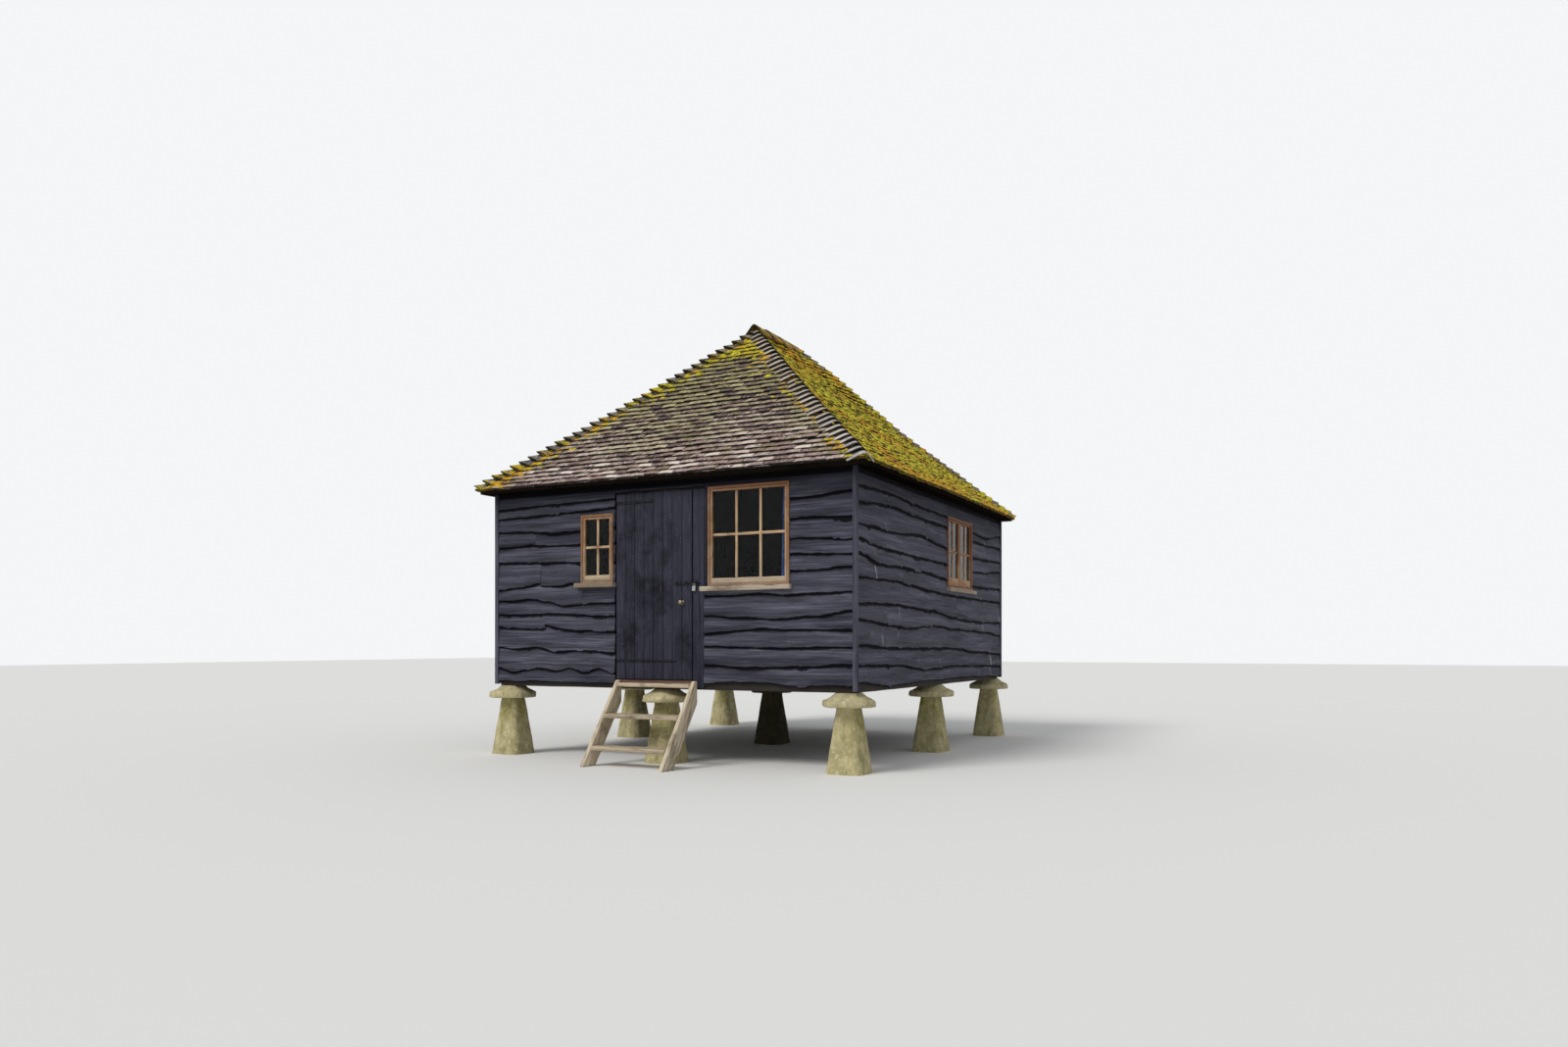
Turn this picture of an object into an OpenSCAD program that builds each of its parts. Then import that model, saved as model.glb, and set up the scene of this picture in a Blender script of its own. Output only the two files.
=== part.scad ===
// Timber granary on nine staddle stones, with a hipped roof and loose steps.
// Millimetres. The door wall faces -Y, +X is to its right, +Z is up.
// The origin is under the middle stone, at the level the stones stand on.

/* [Plan] */
// Width over the boarding, along the door wall
body_w = 4270; // [4100:10:4700]
// Depth over the boarding
body_d = 4850; // [4600:10:5300]

/* [Staddle stones] */
// Height of a post under its cap
post_h = 610; // [450:10:750]
// Width of a post at the ground
post_base = 400; // [320:5:460]
// Width of a post under its cap
post_top = 215; // [170:5:260]
// Radius of a post's corners at the ground
post_round = 95; // [40:5:150]
// Diameter of a cap
cap_d = 510; // [440:5:560]
// Thickness of a cap at its middle
cap_t = 130; // [90:5:170]
// Height of a cap's rim
cap_rim = 42; // [25:1:60]
// Diameter of the flat seat on a cap
cap_seat = 250; // [200:5:320]
// Distance of the outer stones' centres inside the boarding, at the sides
stone_in_x = 134; // [100:2:180]
// Distance of the outer stones' centres inside the boarding, front and back
stone_in_y = 138; // [100:2:180]

/* [Floor] */
// Width of the floor beams
beam_w = 130; // [100:5:160]
// Height of the floor beams
beam_h = 120; // [100:5:160]
// Width of a joist
joist_w = 50; // [38:1:75]
// Height of a joist
joist_h = 95; // [75:5:100]
// Joists in each bay
joist_n = 7; // [5:1:9]
// Thickness of the floor boards
floor_t = 25; // [20:1:35]

/* [Walls] */
// Thickness of the framed wall behind the boarding
frame_t = 95; // [75:5:120]
// Height of the framed walls above the door leaf
wall_over = 100; // [60:5:300]
// Thickness of the lapped boarding at a board's lower edge
board_t = 42; // [36:1:50]
// Thickness of the boarding where the board above covers it
board_top_t = 20; // [14:1:26]
// How far the boarding stops above the caps
board_gap = 18; // [10:1:40]
// Boards one above another
courses = 12; // [9:1:15]
// Width of a corner batten
batten_w = 45; // [43:1:55]

/* [Roof] */
// How far the eaves reach past the boarding
eaves_out = 157; // [120:1:200]
// Thickness of the eaves edge
eaves_t = 30; // [25:1:45]
// Length of the ridge between the hips
ridge_len = 1000; // [800:10:1400]
// How far the ridge's middle lies behind the middle of the plan
ridge_back = 100; // [0:10:200]
// Rise of the slopes from the eaves edge to the ridge
roof_rise = 1985; // [1700:5:2200]
// Sag of the slopes, as a share of the rise
roof_sag = 0.07; // [0:0.01:0.12]
// Upright thickness of the slopes, from the tiles to the rafters' underside
roof_t = 140; // [110:5:170]
// Width of a bonnet tile across both wings
bonnet_w = 300; // [240:10:340]
// Height of a bonnet tile's crest over the hip line
bonnet_h = 42; // [30:1:60]
// How far a bonnet tile's wings fall below the hip line
bonnet_fall = 54; // [45:1:57]
// How far each bonnet tile's tail stands over the one below it
bonnet_step = 15; // [10:1:22]
// Bonnet tiles on a hip
bonnet_n = 33; // [24:1:40]
// Radius of a ridge tile
ridge_r = 115; // [95:1:130]
// Height of the ridge tiles' crests over the slopes' meeting line
ridge_h = 108; // [80:1:112]
// Length by which the ridge tiles run past the ridge's ends
ridge_end = 60; // [40:5:100]
// Ridge tiles
ridge_n = 4; // [3:1:5]

/* [Door] */
// Left edge of the door leaf
door_x = -531; // [-560:1:-500]
// Width of the door leaf
door_w = 904; // [800:1:908]
// How far the leaf hangs below the floor boards' top
door_drop = 49; // [30:1:54]
// Height of the door leaf
door_h = 1874; // [1600:1:2100]
// Thickness of the leaf's boards
leaf_t = 25; // [20:1:30]
// Clearance between the closed leaf and what is round it
door_gap = 5; // [5:1:8]
// How far the leaf laps over the doorway's sides and head
door_lap = 16; // [12:1:22]
// Thickness of a ledge on the leaf's back
ledge_t = 25; // [20:1:30]
// Width of a ledge
ledge_w = 110; // [90:5:130]
// Distance of the ledges' ends from the leaf's edges
ledge_in = 62; // [50:1:75]

/* [Door ironwork] */
// Distance of the top strap below the leaf's top
strap_top_in = 89; // [70:1:160]
// Distance of the bottom strap above the leaf's lower edge
strap_low_in = 184; // [120:1:240]
// Length of the top strap
strap_top_l = 470; // [380:5:520]
// Length of the bottom strap
strap_low_l = 740; // [500:5:780]
// Width of a strap
strap_w = 32; // [26:1:40]
// Thickness of a strap
strap_t = 5; // [4:0.5:6]
// Radius of a hinge pin
pin_r = 5; // [4:0.5:6]
// Clearance round a hinge pin
pin_fit = 0.5; // [0.3:0.1:1]
// Wall of the strap's eye round its pin
eye_wall = 3.5; // [3:0.5:4]
// Height of the hasp above the leaf's lower edge
hasp_up = 951; // [880:1:1000]
// Left end of the hasp
hasp_x = 179; // [150:1:200]
// Length of the hasp
hasp_l = 271; // [262:1:280]
// Width of the hasp
hasp_w = 38; // [34:1:44]
// Middle of the staple's slot, from the hasp's free end
slot_in = 20; // [16:1:24]
// Width of the slot
slot_w = 11; // [10:0.5:13]
// Length of the slot
slot_l = 27; // [26:1:30]
// Radius of the staple's bar
staple_r = 2.5; // [2:0.5:3]
// Distance between the middles of the staple's legs
staple_w = 16; // [14:1:17]
// Middle of the padlock's eye, from the hasp's free end
eye_in = 46; // [44:1:50]
// Radius of the padlock's eye on the hasp, to the middle of its bar
eye_r = 9; // [9:0.5:10]
// Radius of the padlock shackle's bar
shackle_r = 2.5; // [2:0.5:2.5]
// Radius of the shackle's bend
shackle_bend = 11; // [10:0.5:13]
// Length of the shackle's legs
shackle_leg = 15; // [10:1:20]
// Width of the padlock's body
lock_w = 36; // [32:1:44]
// Height of the padlock's body
lock_h = 44; // [36:1:50]
// Thickness of the padlock's body
lock_t = 14; // [12:1:16]
// Radius of the knob
knob_r = 22; // [18:1:26]
// Distance of the knob from the leaf's left edge
knob_x = 796; // [760:1:830]
// Height of the knob above the leaf's lower edge
knob_up = 764; // [660:1:840]

/* [Boards beside the door] */
// Width of the two upright boards beside the door, at the sill
jamb_board_w = 55; // [50:1:60]
// Width of the upright board next to the door leaf
latch_board_w = 75; // [70:1:80]
// Thickness of the upright boards
jamb_board_t = 20; // [16:1:24]
// Joint between the upright boards
jamb_joint = 2; // [1:0.5:3]

/* [Windows] */
// Left edge of the small front window's frame
small_x = -972; // [-1100:1:-900]
// Distance of its frame's top below the wall's top
small_head = 285; // [150:1:400]
// Width of its frame
small_w = 406; // [340:1:406]
// Height of its frame
small_h = 703; // [600:1:760]
// Distance of the large front window's top below the wall's top
large_head = 92; // [60:1:150]
// Width of its frame
large_w = 886; // [800:1:960]
// Height of its frame
large_h = 968; // [880:1:1000]
// Front edge of the side window's frame
side_y = 196; // [100:1:300]
// Distance of its frame's top below the wall's top
side_head = 175; // [120:1:240]
// Width of its frame
side_w = 921; // [840:1:1000]
// Height of its frame
side_h = 800; // [720:1:860]
// Width of the frames' upright and top members
member_w = 48; // [40:1:56]
// Width of the casements' bottom rail with the frame under it
rail_w = 78; // [60:1:90]
// Width of the meeting stiles between the side window's two lights
meeting_w = 92; // [80:1:110]
// Depth of the frames, front to back
frame_d = 70; // [60:1:85]
// How far the frames stand in front of the boarding
frame_proud = 4; // [2:1:8]
// Thickness of the glass
glass_t = 4; // [3:0.5:6]
// Height of a window sill
sill_h = 46; // [36:1:56]
// How far a sill stands in front of the boarding
sill_proud = 40; // [30:1:46]
// How far a sill runs past its frame on the open side
sill_over = 66; // [50:1:75]
// How far a sill runs past its frame on the short side
sill_short = 24; // [20:1:28]
// Width of the curtain drawn to the large window's right side
curtain_w = 105; // [80:5:160]
// Thickness of the drawn curtain
curtain_t = 22; // [16:1:30]

/* [Steps] */
// Thickness of the strings
string_t = 45; // [38:1:50]
// Length of a string's foot on the ground, front to back
string_foot = 200; // [170:5:220]
// How far the foot's front edge stands out from the wall frame
steps_out = 652; // [600:1:700]
// How far the front edge has come in at the top of the string
steps_run = 589; // [540:1:600]
// How far the strings end below the plank's top
string_low = 3; // [2:1:20]
// Left face of the left string
steps_x = -517; // [-530:1:-505]
// Width over both strings
steps_w = 950; // [900:1:980]
// Thickness of the treads
tread_t = 43; // [36:1:50]
// Height of the bottom tread's top
tread_z = 195; // [180:1:220]
// Distance of the top tread's top below the strings' tops
tread_low = 24; // [10:1:60]
// Treads
tread_n = 3; // [2:1:4]
// Depth of the treads
tread_d = 185; // [160:1:195]
// Thickness of the bare plank under the door
plank_t = 20; // [16:1:24]
// Height of the bare plank under the door
plank_h = 56; // [45:1:58]

/* [Hidden] */
$fn = 48;
eps = 0.01;

half_w = body_w / 2;
half_d = body_d / 2;
face_x = half_w - board_t;
face_y = half_d - board_t;
inner_x = face_x - frame_t;
inner_y = face_y - frame_t;

stone_x = half_w - stone_in_x;
stone_y = half_d - stone_in_y;
cap_r = cap_d / 2;
cap_top = post_h + cap_t;
beam_top = cap_top + beam_h;
floor_top = beam_top + floor_t;
door_z = floor_top - door_drop;
door_top = door_z + door_h;
plate_z = door_top + wall_over;
board_z = cap_top + board_gap;

eaves_x = half_w + eaves_out;
eaves_y = half_d + eaves_out;
run_front = eaves_y + ridge_back - ridge_len / 2;
run_back = eaves_y - ridge_back - ridge_len / 2;
eaves_top = plate_z + eaves_t;
apex_z = eaves_top + roof_rise;
roof_knots = [0, 0.15, 0.5, 1];
ridge_axis_z = apex_z + ridge_h - ridge_r;
ridge_front = eaves_y - run_front + ridge_end;
ridge_rear = eaves_y - run_back + ridge_end;
joint = 1;
bonnet_lap = 12;
uneven = 3;

leaf_back = face_y + door_gap;
leaf_face = leaf_back + leaf_t;
axis_x = door_x - 6;
axis_y = leaf_face + 10;
door_right = door_x + door_w;
strap_low_z = door_z + strap_low_in;
strap_top_z = door_top - strap_top_in;
hasp_z = door_z + hasp_up;
knob_z = door_z + knob_up;
way_x0 = door_x + door_lap;
way_x1 = door_right - door_lap;
way_top = door_top - door_lap;
latch_x = door_right + door_gap + 3;
jamb_x = latch_x + latch_board_w + jamb_joint;
boards_x = jamb_x + jamb_board_w;
large_x = boards_x + 50;
boards_left_x = door_x - 17;
small_z = plate_z - small_head - small_h;
large_z = plate_z - large_head - large_h;
side_z = plate_z - side_head - side_h;
eye_r_out = pin_r + pin_fit + eye_wall;
seat_gap = 0.3;

plank_face = face_y + plank_t;
plank_top = door_z - door_gap - 3;
string_h = plank_top - string_low;
string_slope = string_h / steps_run;
tread_rise = (string_h - tread_low - tread_z) / (tread_n - 1);
steps_in_x = steps_x + string_t;
tread_l = steps_w - 2 * string_t;

board_col = [0.13, 0.13, 0.16];
stone_col = [0.62, 0.6, 0.5];
oak_col = [0.45, 0.34, 0.24];
grey_oak_col = [0.52, 0.47, 0.4];
tile_col = [0.42, 0.34, 0.28];
moss_col = [0.5, 0.52, 0.14];
iron_col = [0.16, 0.16, 0.17];

// Height of the tiles' upper face at share t of the way from eaves to ridge.
function roof_top(t) =
    eaves_top + roof_rise * (t - roof_sag * t * (1 - t));

// The same height on the straight stretches between the knots.
function roof_z(t) =
    let (k = t < roof_knots[1] ? 0 : t < roof_knots[2] ? 1 : 2,
         a = roof_knots[k],
         b = roof_knots[k + 1])
    roof_top(a) + (roof_top(b) - roof_top(a)) * (t - a) / (b - a);

// A box between two corners.
module block(low, high) {
    translate(low) cube(high - low);
}

// A tapered square post with rounded corners.
module staddle_post() {
    top_round = post_round * post_top / post_base;
    base_off = post_base / 2 - post_round;
    top_off = post_top / 2 - top_round;
    hull()
        for (sx = [-1, 1], sy = [-1, 1]) {
            translate([sx * base_off, sy * base_off, 0])
                cylinder(h = 1, r = post_round, $fn = 32);
            translate([sx * top_off, sy * top_off, post_h - 1])
                cylinder(h = 1, r = top_round, $fn = 32);
        }
}

// A round cap: flat underside, low rim, crowned top with a flat seat.
module staddle_cap() {
    seat_r = cap_seat / 2;
    crown = [for (s = [0, 0.4, 0.75, 1])
        [cap_r - (cap_r - seat_r) * s,
         cap_rim + (cap_t - cap_rim) * (0.5 * s + 0.5 * sin(90 * s))]];
    translate([0, 0, post_h])
        rotate_extrude()
            polygon(concat([[0, 0], [cap_r - 8, 0], [cap_r, 10]],
                           crown, [[0, cap_t]]));
}

// Three stones in a row across the width.
module stone_row(y) {
    for (k = [-1, 0, 1])
        translate([k * stone_x, y, 0]) children();
}

module front_staddle_posts() {
    color(stone_col) stone_row(-stone_y) staddle_post();
}

module middle_staddle_posts() {
    color(stone_col) stone_row(0) staddle_post();
}

module back_staddle_posts() {
    color(stone_col) stone_row(stone_y) staddle_post();
}

module front_staddle_caps() {
    color(stone_col) stone_row(-stone_y) staddle_cap();
}

module middle_staddle_caps() {
    color(stone_col) stone_row(0) staddle_cap();
}

module back_staddle_caps() {
    color(stone_col) stone_row(stone_y) staddle_cap();
}

// Beams across the width, one over each row of stones.
module floor_beams() {
    beam_y = face_y - beam_w / 2;
    color(oak_col)
        for (y = [-beam_y, 0, beam_y])
            block([-face_x, y - beam_w / 2, cap_top],
                  [face_x, y + beam_w / 2, beam_top]);
}

// Beams along both sides, between those across the width.
module side_sill_beams() {
    color(oak_col)
        for (sx = [0, 1], sy = [0, 1])
            mirror([sx, 0, 0])
                mirror([0, sy, 0])
                    block([face_x - beam_w, beam_w / 2, cap_top],
                          [face_x, face_y - beam_w, beam_top]);
}

// Joists in both bays, framed between the beams.
module floor_joists() {
    pitch = 2 * (face_x - beam_w) / (joist_n + 1);
    color(oak_col)
        for (sy = [0, 1], i = [1:joist_n])
            mirror([0, sy, 0])
                translate([-face_x + beam_w + i * pitch, 0, 0])
                    block([-joist_w / 2, beam_w / 2, beam_top - joist_h],
                          [joist_w / 2, face_y - beam_w, beam_top]);
}

module floor_deck() {
    color(oak_col)
        block([-face_x, -face_y, beam_top], [face_x, face_y, floor_top]);
}

// Space of one window's frame, through a wall on the front.
module small_hole() {
    block([small_x, -half_d - sill_proud, small_z],
          [small_x + small_w, -inner_y + eps, small_z + small_h]);
}

module large_hole() {
    block([large_x, -half_d - sill_proud, large_z],
          [large_x + large_w, -inner_y + eps, large_z + large_h]);
}

// Space of the side window's frame, through the right wall.
module side_hole() {
    block([inner_x - eps, side_y, side_z],
          [half_w + sill_proud, side_y + side_w, side_z + side_h]);
}

module front_wall_left() {
    color(board_col)
        difference() {
            block([-face_x, -face_y, floor_top],
                  [way_x0, -inner_y, plate_z]);
            small_hole();
        }
}

module front_wall_right() {
    color(board_col)
        difference() {
            block([way_x1, -face_y, floor_top],
                  [face_x, -inner_y, plate_z]);
            large_hole();
        }
}

module front_wall_over_door() {
    color(board_col)
        block([way_x0, -face_y, way_top], [way_x1, -inner_y, plate_z]);
}

module back_wall() {
    color(board_col)
        block([-face_x, inner_y, floor_top], [face_x, face_y, plate_z]);
}

module left_wall() {
    color(board_col)
        block([-face_x, -inner_y, floor_top],
              [-inner_x, inner_y, plate_z]);
}

module right_wall() {
    color(board_col)
        difference() {
            block([inner_x, -inner_y, floor_top],
                  [face_x, inner_y, plate_z]);
            side_hole();
        }
}

// Lapped boarding on the front, of the given length, its back at y = 0.
module boarding(length) {
    course_h = (plate_z - board_z) / courses;
    steps = [for (i = [0:courses - 1], k = [0, 1])
        [k == 0 ? board_t : board_top_t, board_z + (i + k) * course_h]];
    translate([-length / 2, 0, 0])
        rotate([90, 0, 90])
            linear_extrude(length)
                mirror([1, 0])
                    polygon(concat([[0, board_z]], steps, [[0, plate_z]]));
}

// Everything that interrupts the front boarding.
module front_breaks() {
    deep = half_d + sill_proud;
    small_hole();
    large_hole();
    front_sills();
    block([boards_left_x, -deep, 0], [boards_x, -face_y + 1, large_z]);
    block([boards_left_x, -deep, large_z - 1],
          [large_x, -face_y + 1, door_top + door_gap]);
}

module front_boards() {
    color(board_col)
        difference() {
            translate([0, -face_y, 0]) boarding(2 * face_x);
            front_breaks();
        }
}

module back_boards() {
    color(board_col)
        rotate([0, 0, 180])
            translate([0, -face_y, 0]) boarding(2 * face_x);
}

module left_boards() {
    color(board_col)
        rotate([0, 0, -90])
            translate([0, -face_x, 0]) boarding(2 * face_y);
}

module right_boards() {
    color(board_col)
        difference() {
            rotate([0, 0, 90])
                translate([0, -face_x, 0]) boarding(2 * face_y);
            side_hole();
            side_sill();
        }
}

// Square battens that close the boards' ends at the corners.
module corner_battens() {
    color(board_col)
        for (sx = [0, 1], sy = [0, 1])
            mirror([sx, 0, 0])
                mirror([0, sy, 0])
                    block([face_x, face_y, board_z],
                          [face_x + batten_w, face_y + batten_w, plate_z]);
}

// Two upright boards between the door and the large window.
module door_side_boards() {
    front = -face_y - jamb_board_t;
    color(board_col) {
        block([latch_x, front, board_z],
              [latch_x + latch_board_w, -face_y, door_top]);
        block([jamb_x, front, board_z], [boards_x, -face_y, door_top]);
        block([boards_x - eps, front, large_z],
              [large_x, -face_y, door_top]);
    }
}

// Bare plank on the beam under the door.
module door_sill() {
    color(oak_col)
        block([boards_left_x + 3, -plank_face, plank_top - plank_h],
              [latch_x - 1, -face_y, plank_top]);
}

// Window frame of one light or two, its outer face at y = 0.
module window_frame(w, h, lights) {
    light_w = (w - 2 * member_w - (lights - 1) * meeting_w) / lights;
    difference() {
        block([0, 0, 0], [w, frame_d, h]);
        for (i = [0:lights - 1])
            translate([member_w + i * (light_w + meeting_w), 0, 0])
                block([0, -1, rail_w],
                      [light_w, frame_d + 1, h - member_w]);
    }
}

// The sheets of glass of such a frame.
module panes(w, h, lights) {
    light_w = (w - 2 * member_w - (lights - 1) * meeting_w) / lights;
    glass_y = (frame_d - glass_t) / 2;
    for (i = [0:lights - 1])
        translate([member_w + i * (light_w + meeting_w), 0, 0])
            block([0, glass_y, rail_w],
                  [light_w, glass_y + glass_t, h - member_w]);
}

module at_small_window() {
    translate([small_x, -half_d - frame_proud, small_z]) children();
}

module at_large_window() {
    translate([large_x, -half_d - frame_proud, large_z]) children();
}

module at_side_window() {
    translate([half_w + frame_proud, side_y, side_z])
        rotate([0, 0, 90]) children();
}

module small_window_frame() {
    color(oak_col) at_small_window() window_frame(small_w, small_h, 1);
}

module large_window_frame() {
    color(oak_col) at_large_window() window_frame(large_w, large_h, 1);
}

module side_window_frame() {
    color(oak_col) at_side_window() window_frame(side_w, side_h, 2);
}

module window_glass() {
    color([0.5, 0.6, 0.65, 0.4]) {
        at_small_window() panes(small_w, small_h, 1);
        at_large_window() panes(large_w, large_h, 1);
        at_side_window() panes(side_w, side_h, 2);
    }
}

module front_sills() {
    front = -half_d - sill_proud;
    block([small_x - sill_over, front, small_z - sill_h],
          [small_x + small_w + sill_short, -face_y, small_z]);
    block([boards_x - 24, front, large_z - sill_h],
          [large_x + large_w + sill_short, -face_y, large_z]);
}

module side_sill() {
    block([face_x, side_y - sill_short, side_z - sill_h],
          [half_w + sill_proud, side_y + side_w + sill_over, side_z]);
}

module window_sills() {
    color(grey_oak_col)
        difference() {
            union() {
                front_sills();
                side_sill();
            }
            translate([0, 0, -1]) door_side_boards();
        }
}

// Rail for the curtain, on the wall's inner face over the large window.
module curtain_rail() {
    color(oak_col)
        block([large_x - member_w, -inner_y, large_z + large_h],
              [large_x + large_w + member_w, -inner_y + curtain_t,
               large_z + large_h + curtain_t]);
}

// The drawn curtain, a closed slab hung under its rail.
module curtain() {
    right = large_x + large_w - member_w + 20;
    color([0.3, 0.38, 0.6])
        block([right - curtain_w, -inner_y + seat_gap,
               large_z + rail_w / 2],
              [right, -inner_y + seat_gap + curtain_t,
               large_z + large_h - seat_gap]);
}

// Section of a slope: eaves edge at the left, ridge at the right. The foot
// is notched to sit flat on the wall, whose inner face is at seat.
module slope_section(run, seat) {
    seat_t = seat / run;
    top = [for (t = roof_knots) [run * t, roof_top(t)]];
    under = [for (i = [len(roof_knots) - 1:-1:1])
        if (roof_knots[i] > seat_t)
            [run * roof_knots[i], roof_top(roof_knots[i]) - roof_t]];
    polygon(concat([[0, plate_z]], top, under,
                   [[seat, roof_z(seat_t) - roof_t], [seat, plate_z]]));
}

// A whole slope without its mitres, rising from the eaves line at y = 0.
module slope_slab(run, seat, length) {
    translate([-length / 2, 0, 0])
        rotate([90, 0, 90])
            linear_extrude(length) slope_section(run, seat);
}

// The front or back slope, between the hips that rise from its corners.
module end_slope(run) {
    translate([0, -eaves_y, 0])
        intersection() {
            slope_slab(run, eaves_y - inner_y, 2 * eaves_x + 2);
            linear_extrude(apex_z + 1)
                polygon([[-eaves_x, 0], [eaves_x, 0], [0, run]]);
        }
}

// The right slope, between the hips and the ridge.
module side_slope() {
    intersection() {
        rotate([0, 0, 90])
            translate([0, -eaves_x, 0])
                slope_slab(eaves_x, eaves_x - inner_x, 2 * eaves_y + 2);
        linear_extrude(apex_z + 1)
            polygon([[eaves_x, -eaves_y], [eaves_x, eaves_y],
                     [0, eaves_y - run_back], [0, run_front - eaves_y]]);
    }
}

module front_roof_slope() {
    color(tile_col) end_slope(run_front);
}

module back_roof_slope() {
    color(tile_col) rotate([0, 0, 180]) end_slope(run_back);
}

module left_roof_slope() {
    color(tile_col) mirror([1, 0, 0]) side_slope();
}

module right_roof_slope() {
    color(moss_col) side_slope();
}

// One bonnet tile's section across the hip, with the bed under it.
module bonnet_section(wing) {
    polygon([[-wing, -wing], [-wing, -bonnet_fall],
             [-wing * 0.4, bonnet_h * 0.72], [0, bonnet_h],
             [wing * 0.4, bonnet_h * 0.72], [wing, -bonnet_fall],
             [wing, -wing]]);
}

// Bonnet tiles up a hip that starts at the front right corner and rises
// over the given run. Each one's tail stands on the head of the one below,
// and every second one is a little narrower.
module hip_row(run) {
    turn = atan2(eaves_x, run);
    plan = norm([eaves_x, run]) / bonnet_n;
    for (i = [0:bonnet_n - 1]) {
        t = i / bonnet_n;
        rise = roof_top((i + 1) / bonnet_n) - roof_top(t) - bonnet_step;
        translate([eaves_x * (1 - t), run * t - eaves_y,
                   roof_top(t) + bonnet_step])
            rotate([0, 0, turn])
                rotate([atan2(rise, plan), 0, 0])
                    rotate([90, 0, 180])
                        linear_extrude(norm([plan, rise]) + bonnet_lap)
                            bonnet_section(bonnet_w / 2 - i % 2 * uneven);
    }
}

// The roof's outline along one axis, filled down to the wall tops: slopes
// rise from both ends, with a level stretch between where they don't meet.
module roof_prism(half, near_run, far_run, length) {
    level = 2 * half - near_run - far_run;
    rising = [for (t = roof_knots) [near_run * t - half, roof_top(t)]];
    falling = [for (i = [len(roof_knots) - 1:-1:0])
        let (t = roof_knots[i])
        if (t < 1 || level > eps) [half - far_run * t, roof_top(t)]];
    translate([-length / 2, 0, 0])
        rotate([90, 0, 90])
            linear_extrude(length)
                polygon(concat([[-half, plate_z - 1]], rising, falling,
                               [[half, plate_z - 1]]));
}

// The outside of the whole roof.
module roof_mass() {
    intersection() {
        roof_prism(eaves_y, run_front, run_back, 2 * eaves_x + 2);
        rotate([0, 0, 90])
            roof_prism(eaves_x, eaves_x, eaves_x, 2 * eaves_y + 2);
    }
}

// The bonnet tiles of one hip, cut off at the ridge tiles' end.
module hip(run, ridge_stop) {
    difference() {
        intersection() {
            hip_row(run);
            block([joint / 2, -eaves_y, plate_z],
                  [eaves_x, -ridge_stop - joint, apex_z + ridge_r]);
        }
        children();
    }
}

module hip_tiles() {
    color(tile_col)
        for (sx = [0, 1])
            mirror([sx, 0, 0]) {
                hip(run_front, ridge_front) roof_mass();
                mirror([0, 1, 0])
                    hip(run_back, ridge_rear)
                        mirror([0, 1, 0]) roof_mass();
            }
}

// Half-round tiles along the ridge, bedded on the slopes.
module ridge_tiles() {
    tile_l = (ridge_front + ridge_rear - (ridge_n - 1) * joint) / ridge_n;
    color(tile_col)
        for (i = [0:ridge_n - 1])
            difference() {
                translate([0, -ridge_front + i * (tile_l + joint),
                           ridge_axis_z])
                    rotate([-90, 0, 0]) cylinder(h = tile_l, r = ridge_r);
                roof_mass();
            }
}

// Upright pins with their shanks in the door post.
module hinge_pins() {
    shank_h = 14;
    eye_low = strap_w / 2 + seat_gap;
    color(iron_col)
        for (z = [strap_low_z, strap_top_z])
            translate([axis_x, 0, z]) {
                translate([0, -axis_y, -eye_low - shank_h])
                    cylinder(h = strap_w + shank_h + 4, r = pin_r);
                block([-4, -axis_y, -eye_low - shank_h],
                      [4, -face_y, -eye_low]);
            }
}

// Staple on the latch board that stands through the hasp's slot.
module hasp_staple() {
    out = leaf_face + 4 + 2;
    back = face_y + jamb_board_t;
    color(iron_col)
        translate([hasp_x + hasp_l - slot_in, 0, hasp_z]) {
            for (s = [-1, 1])
                translate([0, -back, s * staple_w / 2])
                    rotate([90, 0, 0])
                        cylinder(h = out - back, r = staple_r);
            translate([0, -out, 0])
                rotate([90, 90, 0])
                    rotate([90, 0, 0])
                        rotate_extrude(angle = 180)
                            translate([staple_w / 2, 0])
                                circle(r = staple_r);
        }
}

module door_leaf() {
    color(board_col)
        block([door_x, -leaf_face, door_z],
              [door_right, -leaf_back, door_top]);
}

// Three ledges across the back of the leaf.
module door_ledges() {
    low = door_z + 95;
    pitch = (door_h - 2 * 95 - ledge_w - 30) / 2;
    color(board_col)
        for (i = [0:2])
            block([door_x + ledge_in, -leaf_back, low + i * pitch],
                  [door_right - ledge_in, -leaf_back + ledge_t,
                   low + i * pitch + ledge_w]);
}

// One strap with its eye, the eye's axis on the z axis.
module strap(length) {
    back = axis_y - leaf_face;
    difference() {
        union() {
            cylinder(h = strap_w, r = eye_r_out, center = true);
            translate([0, back, 0])
                rotate([90, 0, 0])
                    linear_extrude(strap_t)
                        polygon([[0, -strap_w / 2],
                                 [length - 20, -strap_w * 0.38],
                                 [length, 0],
                                 [length - 20, strap_w * 0.38],
                                 [0, strap_w / 2]]);
        }
        cylinder(h = strap_w + 2, r = pin_r + pin_fit, center = true);
    }
}

module strap_hinges() {
    color(iron_col) {
        translate([axis_x, -axis_y, strap_top_z]) strap(strap_top_l);
        translate([axis_x, -axis_y, strap_low_z]) strap(strap_low_l);
    }
}

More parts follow.
